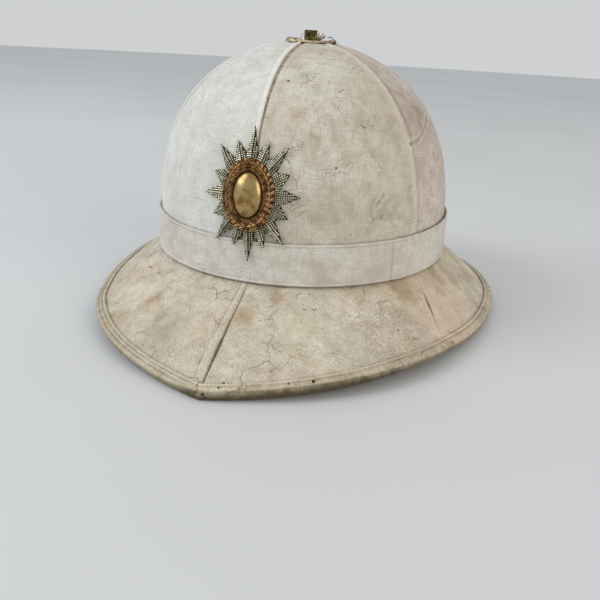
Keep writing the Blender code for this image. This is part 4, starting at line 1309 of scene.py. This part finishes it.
def make_wreath():
    base = BADGE_TOP + LAYER_GAP
    wide, tall = WREATH_WIDTH - WREATH_BREADTH, WREATH_HEIGHT - WREATH_BREADTH
    half = WREATH_BREADTH / 2
    section = [(-half, base, 1), (-half, base + 0.5 * MM, 0.8), (0, base + 0.9 * MM, 0.8),
               (half * 0.8, base + 0.5 * MM, 0.9), (half * 0.8, base, 1)]
    parts = [oval_ring(wide, tall, section)]
    for k in range(LEAVES):
        angle = 2 * math.pi * (k + 0.5) / LEAVES
        way = 1 if angle < math.pi else -1
        x, y = oval(angle, wide, tall)
        ahead = oval(angle - way * 0.05, wide, tall)
        direction = math.atan2(ahead[0] - x, ahead[1] - y)
        for splay, lift in ((0.62, 0.1), (-0.62, 0.1), (0.0, 0.5)):
            spot = oval(angle + (0.05 if splay == 0 else 0), wide, tall)
            parts.append(leaf(*spot, direction + splay, base + 0.45 * MM + lift * MM, 0.9 * MM))
    for k in range(LEAVES):
        angle = 2 * math.pi * k / LEAVES
        parts.append(berry(*oval(angle, wide + 4.4 * MM, tall + 4.4 * MM), base + 0.6 * MM, 0.75 * MM))
    joined("badge_wreath_gilt", parts, GILT, "gilding_metal", "badge_wreath")

    parts = []
    section = [(-1.2 * MM, base, 1), (-1.2 * MM, base + 1.0 * MM, 0.2), (-0.9 * MM, base + 1.3 * MM, 0),
               (-0.5 * MM, base + 0.9 * MM, 0.7), (0.5 * MM, base + 0.9 * MM, 0.6),
               (0.9 * MM, base + 1.3 * MM, 0), (1.2 * MM, base + 1.0 * MM, 0.2), (1.2 * MM, base, 1)]
    wide, tall = BOSS_WIDTH + 3.4 * MM, BOSS_HEIGHT + 3.4 * MM
    parts.append(oval_ring(wide, tall, section))
    for k in range(52):
        parts.append(berry(*oval(2 * math.pi * k / 52, wide, tall), base + 0.95 * MM, 0.42 * MM, 0.0))
    joined("badge_inner_ring", parts, GILT, "gilding_metal")

    rings, dirt_and_painted_light = [], []
    for size, proud, dark in [(1.0, base, 0.9)] + [
        (math.cos(c), base + BOSS_EDGE + (BOSS_RELIEF - BOSS_EDGE) * math.sin(c), 0.35 * math.cos(c) ** 6)
        for c in np.linspace(0, 1.45, 14)
    ]:
        rings.append([badge_point(*oval(2 * math.pi * k / 64, BOSS_WIDTH * size, BOSS_HEIGHT * size), proud)
                      for k in range(64)])
        dirt_and_painted_light += [dark] * 64
    middles = (badge_point(0, 0, base), badge_point(0, 0, base + BOSS_RELIEF))
    dome = solid(rings, dirt_and_painted_light + [1.0, 0.0], middles)
    joined("badge_dome", [dome], DOME_GILT, "gilding_metal", "badge_boss")


make_wreath()

# %% [markdown]
# The ventilator is gone. What is left is the brass collet that it screwed on, with a fine thread
# cut outside, and the torn cloth and loose threads round it. The thread is a true helix: its
# radius rises and falls with both the height and the turn.

# %% The collet
COLLET_BORE, COLLET_RISE, COLLET_TAIL = 0.0028, 0.0068, 0.0015
FLANGE_THICKNESS, THREAD_DEPTH, THREAD_PITCH = 0.0008, 0.0004, 1.0 * MM
TOP = Vector(crown(0.0, math.pi / 2))
EDGE_OF_HOLE = crown(0.0, climb_to_radius(COLLET_RADIUS + COLLET_CLEARANCE), CORK_INSET)
SEAT = EDGE_OF_HOLE[2] - TOP.z + LAYER_GAP


def make_collet():
    steps, flange_top = 72, SEAT + FLANGE_THICKNESS
    tail = SEAT - CORK_WALL - COLLET_TAIL
    profile = [(COLLET_BORE, COLLET_RISE, 0.1, 0), (COLLET_RADIUS - 0.7 * MM, COLLET_RISE, 0.0, 0)]
    heights = np.linspace(COLLET_RISE - 0.2 * MM, flange_top + 0.3 * MM, 40)
    profile += [(COLLET_RADIUS, z, 0.2, 1) for z in heights]
    profile += [(COLLET_RADIUS - THREAD_DEPTH, flange_top, 0.8, 0)]
    profile += [(FLANGE_RADIUS - 0.3 * MM, flange_top, 0.6, 0)]
    profile += [(FLANGE_RADIUS, flange_top - 0.2 * MM, 0.5, 0), (FLANGE_RADIUS, SEAT, 0.8, 0)]
    profile += [(COLLET_RADIUS, SEAT, 0.8, 0), (COLLET_RADIUS, tail, 0.3, 0), (COLLET_BORE, tail, 0.3, 0)]
    rings, dirt_and_painted_light = [], []
    for k in range(steps):
        turn = 2 * math.pi * k / steps
        ring = []
        for r, z, dark, cut in profile:
            wave = abs(((z / THREAD_PITCH + k / steps) % 1) * 2 - 1)
            r = r - THREAD_DEPTH * wave if cut else r
            ring.append(TOP + Vector((r * math.sin(turn), -r * math.cos(turn), z)))
            dirt_and_painted_light.append(min(1.0, dark + 0.75 * wave if cut else dark))
        rings.append(ring[::-1])
        dirt_and_painted_light[-len(ring):] = dirt_and_painted_light[-len(ring):][::-1]
    part = solid(rings, dirt_and_painted_light)
    joined("ventilator_collet_threaded", [part], BRASS, "dull_brass", "ventilator_collet")


make_collet()


# %% The torn cloth and its loose threads
TORN_RADIUS, COLLET_EDGE = 0.0185, 0.0055
TORN_STEPS = 220


def make_torn_cloth():
    turn = np.linspace(-math.pi, math.pi, TORN_STEPS, endpoint=False)
    ragged = np.array([noise.noise((math.sin(t) * 2.2, math.cos(t) * 2.2, 0.3)) for t in turn])
    nicks = np.array([noise.noise((math.sin(t) * 14, math.cos(t) * 14, 5.0)) for t in turn])
    reach = TORN_RADIUS * (0.80 + 0.13 * ragged + 0.15 * nicks)
    hole, flange = COLLET_RADIUS + LAYER_GAP, FLANGE_RADIUS + LAYER_GAP
    ring_top = TOP.z + SEAT + FLANGE_THICKNESS + LAYER_GAP
    out = np.stack([np.sin(turn), -np.cos(turn), 0 * turn], axis=-1)
    degrees = np.degrees(turn)
    stands = 1 + 2.2 * hump(degrees, -95, 45) + 1.2 * hump(degrees, 80, 40)
    rows, shares = [], np.linspace(1, 0, 16)
    for share in shares:
        radius = hole + (reach - hole) * share
        climb = np.array([climb_to_radius(r) for r in radius])
        over = crown(turn, climb)
        lowest = np.maximum(over[:, 2] + LAYER_GAP, ring_top - 1.2 * MM)
        over[:, 2] = np.where(radius < flange, ring_top, lowest)
        line = np.array(TOP) + out * radius[:, None]
        line[:, 2] = ring_top
        onto = ease(flange - 2 * MM, flange + 1 * MM, radius)[:, None]
        line = line * (1 - onto) + over * onto
        line[:, 2] += (0.5 + 1.1 * np.abs(nicks)) * MM * share**3 * stands
        rows.append(line)
    points = np.array(rows)
    relief = 0.35 * MM * lumps(points, 0.003, 2.0) + 0.4 * MM * np.abs(lumps(points, 0.006, 5.0))
    flats = np.stack(np.meshgrid(np.linspace(0, 0.08, TORN_STEPS + 1), shares * 0.013), axis=-1)
    shares = shares[:, None]
    relief = relief * ease(0.0, 0.25, shares)
    dirt_and_painted_light = 0.75 * hump(degrees, 75, 45) + 0.85 * hump(degrees, -95, 40) * ease(0.3, 0.7, shares)
    dirt_and_painted_light = dirt_and_painted_light + 0.5 * ease(0.75, 0.3, shares) * hump(degrees, 60, 80)
    mesh = sheet("torn_cloth_ring", points, np.abs(relief), 0.6 * MM, flats, dirt_and_painted_light, around=True)
    piece("torn_cloth_ring", mesh, FRAYED, "torn_cloth", "torn_cloth")


make_torn_cloth()


def tube(path, radius, sides=5):
    """A thread along a list of points."""
    rings = []
    for k, point in enumerate(path):
        ahead = (path[min(k + 1, len(path) - 1)] - path[max(k - 1, 0)]).normalized()
        side = ahead.cross(Vector((0.3, 0.5, 0.8))).normalized()
        other = ahead.cross(side)
        size = radius * (0.55 if k == len(path) - 1 else 1.0)
        rings.append([point + (side * math.cos(a) + other * math.sin(a)) * size
                      for a in (2 * math.pi * j / sides for j in range(sides))])
    return solid(rings, [0.0] * (len(path) * sides + 2), (path[0], path[-1]))


def fibre(rng, turn, start, length, lean, curl, radius):
    """One frayed thread: it starts at a turn and distance from the collet's axis and bends as it goes."""
    out = Vector((math.sin(turn), -math.cos(turn), 0))
    side = Vector((math.cos(turn), math.sin(turn), 0))
    height = SEAT + FLANGE_THICKNESS + 0.8 * MM - start**2 * 4
    point, path = TOP + out * start + UP * height, []
    angle, sway = lean, 0.0
    for _ in range(8):
        path.append(point.copy())
        step = out * math.cos(angle) + UP * math.sin(angle) + side * math.sin(sway)
        point += step.normalized() * length / 7
        angle += curl / 7 + rng.normal(0, 0.10)
        sway += rng.normal(0, 0.22)
    return tube(path, radius)


def make_threads():
    rng = np.random.default_rng(11)
    pale, dark = [], []
    for kind, count, turns, starts, lengths, leans, curl, radius in (
        # turns: middle and spread in degrees, or none for all round. starts: a range in metres from the
        # collet's axis, or none for its edge. lengths and the radius are in millimetres
        (pale, 46, (75, 22), None, (3, 6.5), (0.7, 1.4), -0.3, 0.16),
        (pale, 90, None, (0.008, 0.0155), (2.5, 6), (0.0, 0.5), -0.9, 0.13),
        (dark, 26, (-85, 16), (0.006, 0.012), (2, 4.5), (0.0, 0.6), -0.4, 0.2),
        (dark, 16, (80, 14), (0.010, 0.015), (2, 4), (0.0, 0.5), -0.6, 0.2),
    ):
        for _ in range(count):
            turn = math.radians(rng.normal(*turns)) if turns else rng.uniform(-math.pi, math.pi)
            start = rng.uniform(*starts) if starts else COLLET_EDGE
            length, lean = rng.uniform(*lengths) * MM, rng.uniform(*leans)
            kind.append(fibre(rng, turn, start, length, lean, curl, radius * MM))
    dark.append(fibre(rng, math.radians(85), 0.0170, 8.5 * MM, 1.9, 1.6, 0.28 * MM))
    pale.append(fibre(rng, math.radians(-95), 0.0060, 9 * MM, 1.2, 3.4, 0.2 * MM))
    joined("loose_threads_pale", pale, THREADS, "torn_cloth")
    joined("loose_threads_dark", dark, DARK_THREADS, "torn_cloth")


make_threads()

# %% [markdown]
# Rows of machine stitches hold the binding and the hatband, about 3 mm to a stitch. Each stitch is a
# small grain of thread, half sunk into the cloth and clogged with whitening.

# %% The stitches
STITCH, STITCH_LONG, STITCH_WIDE = 3.0 * MM, 2.1 * MM, 0.3 * MM


def stitch_row(path, normal):
    """Stitches along a closed line of points, each lying on the cloth."""
    along = running(path, closed=True)
    count = int(along[-1] / STITCH)
    ring, facing = np.concatenate([path, path[:1]]), np.concatenate([normal, normal[:1]])
    parts = []
    for k in range(count):
        foot, head, up = (
            Vector([np.interp((k + share) * along[-1] / count, along, line[:, i]) for i in range(3)])
            for share, line in ((0.15, ring), (0.15 + STITCH_LONG / STITCH, ring), (0.5, facing))
        )
        ahead, up = (head - foot).normalized(), up.normalized()
        side = ahead.cross(up)
        rings = []
        for t, size in ((0.06, 0.6), (0.3, 1.0), (0.7, 1.0), (0.94, 0.6)):
            middle = foot.lerp(head, t) + up * 0.06 * MM
            turns = (2 * math.pi * j / 6 for j in range(6))
            wide = STITCH_WIDE * size
            rings.append([middle + (side * math.cos(a) - up * math.sin(a) * 0.6) * wide for a in turns])
        parts.append(solid(rings, [0.12] * 26, (foot, head)))
    return parts


def make_stitches():
    row = int(np.argmin(np.abs(RIM_FOLD - 2.9 * MM)))
    for name, path, normal, tone, slot in (
        ("binding_stitches", RIM_FRONT[row], RIM_NORMAL[row], "binding", "binding_cloth"),
        ("hatband_stitches", BAND_LINE, BAND_NORMAL, "band", "crown_cloth"),
    ):
        parts = stitch_row(path, normal)
        joined(name, parts, COTTON[tone], slot)
        print("  stitches:", len(parts))


make_stitches()

# %% [markdown]
# The studio is plain: a pale floor, a soft overcast sky and two large lamps. The photograph has a
# cool window at the left and a little warmth from the right. The camera stands where the
# photographer's did, looking slightly down at the front of the crown.

# %% The camera
FOCAL_PIXELS, PHOTO_PIXELS, SENSOR = 672, 600, 36
AZIMUTH, ELEVATION, ROLL = math.radians(15.33), math.radians(15.73), math.radians(-3.30)
DISTANCE = 0.4864
YAW, PITCH = math.atan2(0.9, FOCAL_PIXELS), math.atan2(63.1, FOCAL_PIXELS)


def swung(first, second, angle):
    """Two directions turned by an angle, the first towards the second."""
    return (
        first * math.cos(angle) + second * math.sin(angle),
        second * math.cos(angle) - first * math.sin(angle),
    )


def make_camera():
    back = Vector((
        math.sin(AZIMUTH) * math.cos(ELEVATION),
        -math.cos(AZIMUTH) * math.cos(ELEVATION),
        math.sin(ELEVATION),
    ))
    right = Vector((math.cos(AZIMUTH), math.sin(AZIMUTH), 0))
    up, ahead = back.cross(right), -back
    right, ahead = swung(right, ahead, YAW)
    up, ahead = swung(up, ahead, PITCH)
    up, right = swung(up, right, ROLL)
    lens = bpy.data.cameras.new("camera")
    lens.sensor_width = SENSOR
    lens.lens = FOCAL_PIXELS / PHOTO_PIXELS * SENSOR
    lens.clip_start = 0.01
    made = bpy.data.objects.new("camera", lens)
    turn = Matrix((right, up, -ahead)).transposed().to_4x4()
    made.matrix_world = Matrix.Translation(Vector((0, CENTRE_SHIFT, FOOT_HEIGHT)) + back * DISTANCE) @ turn
    bpy.context.scene.collection.objects.link(made)
    bpy.context.scene.camera = made
    print("camera height, mm:", round(made.matrix_world.translation.z / MM))


make_camera()

# %% Floor and light
FLOOR_RADIUS, FLOOR_SIDES = 6.0, 96


def make_studio():
    mesh = bpy.data.meshes.new("floor")
    turns = (2 * math.pi * k / FLOOR_SIDES for k in range(FLOOR_SIDES))
    mesh.from_pydata([(FLOOR_RADIUS * math.cos(a), FLOOR_RADIUS * math.sin(a), 0) for a in turns], [],
                     [list(range(FLOOR_SIDES))])
    floor = bpy.data.objects.new("floor", mesh)
    bpy.context.scene.collection.objects.link(floor)
    made, tree, shader, place = new_material("pale_table_top")
    colour = blend(tree, patches(tree, place, 0.5, 0.3, 0.7), "D6D8D8", "D0D2D2")
    tree.links.new(colour, shader.inputs["Base Color"])
    shader.inputs["Roughness"].default_value = 0.6
    mesh.materials.append(made)

    world = bpy.data.worlds.new("overcast")
    world.use_nodes = True
    sky = world.node_tree.nodes["Background"]
    sky.inputs["Color"].default_value = linear("D6D8DA")
    sky.inputs["Strength"].default_value = 0.92
    bpy.context.scene.world = world
    for name, place, energy, size, tint in (
        ("window", (-1.5, -0.9, 1.3), 21, 1.2, "F6F9FF"),
        ("room", (1.6, -0.9, 0.8), 12, 1.2, "FFF1E2"),
    ):
        lamp = bpy.data.lights.new(name, "AREA")
        lamp.energy, lamp.size = energy, size
        lamp.color = linear(tint)[:3]
        stand = bpy.data.objects.new(name, lamp)
        stand.location = place
        stand.rotation_euler = (Vector((0, 0, 0.08)) - Vector(place)).to_track_quat("-Z", "Y").to_euler()
        bpy.context.scene.collection.objects.link(stand)
    bpy.context.scene.view_settings.view_transform = "Standard"
    print("lights:", [lamp.name for lamp in bpy.data.lights])


make_studio()

# %% [markdown]

# %% The end
print("the end")
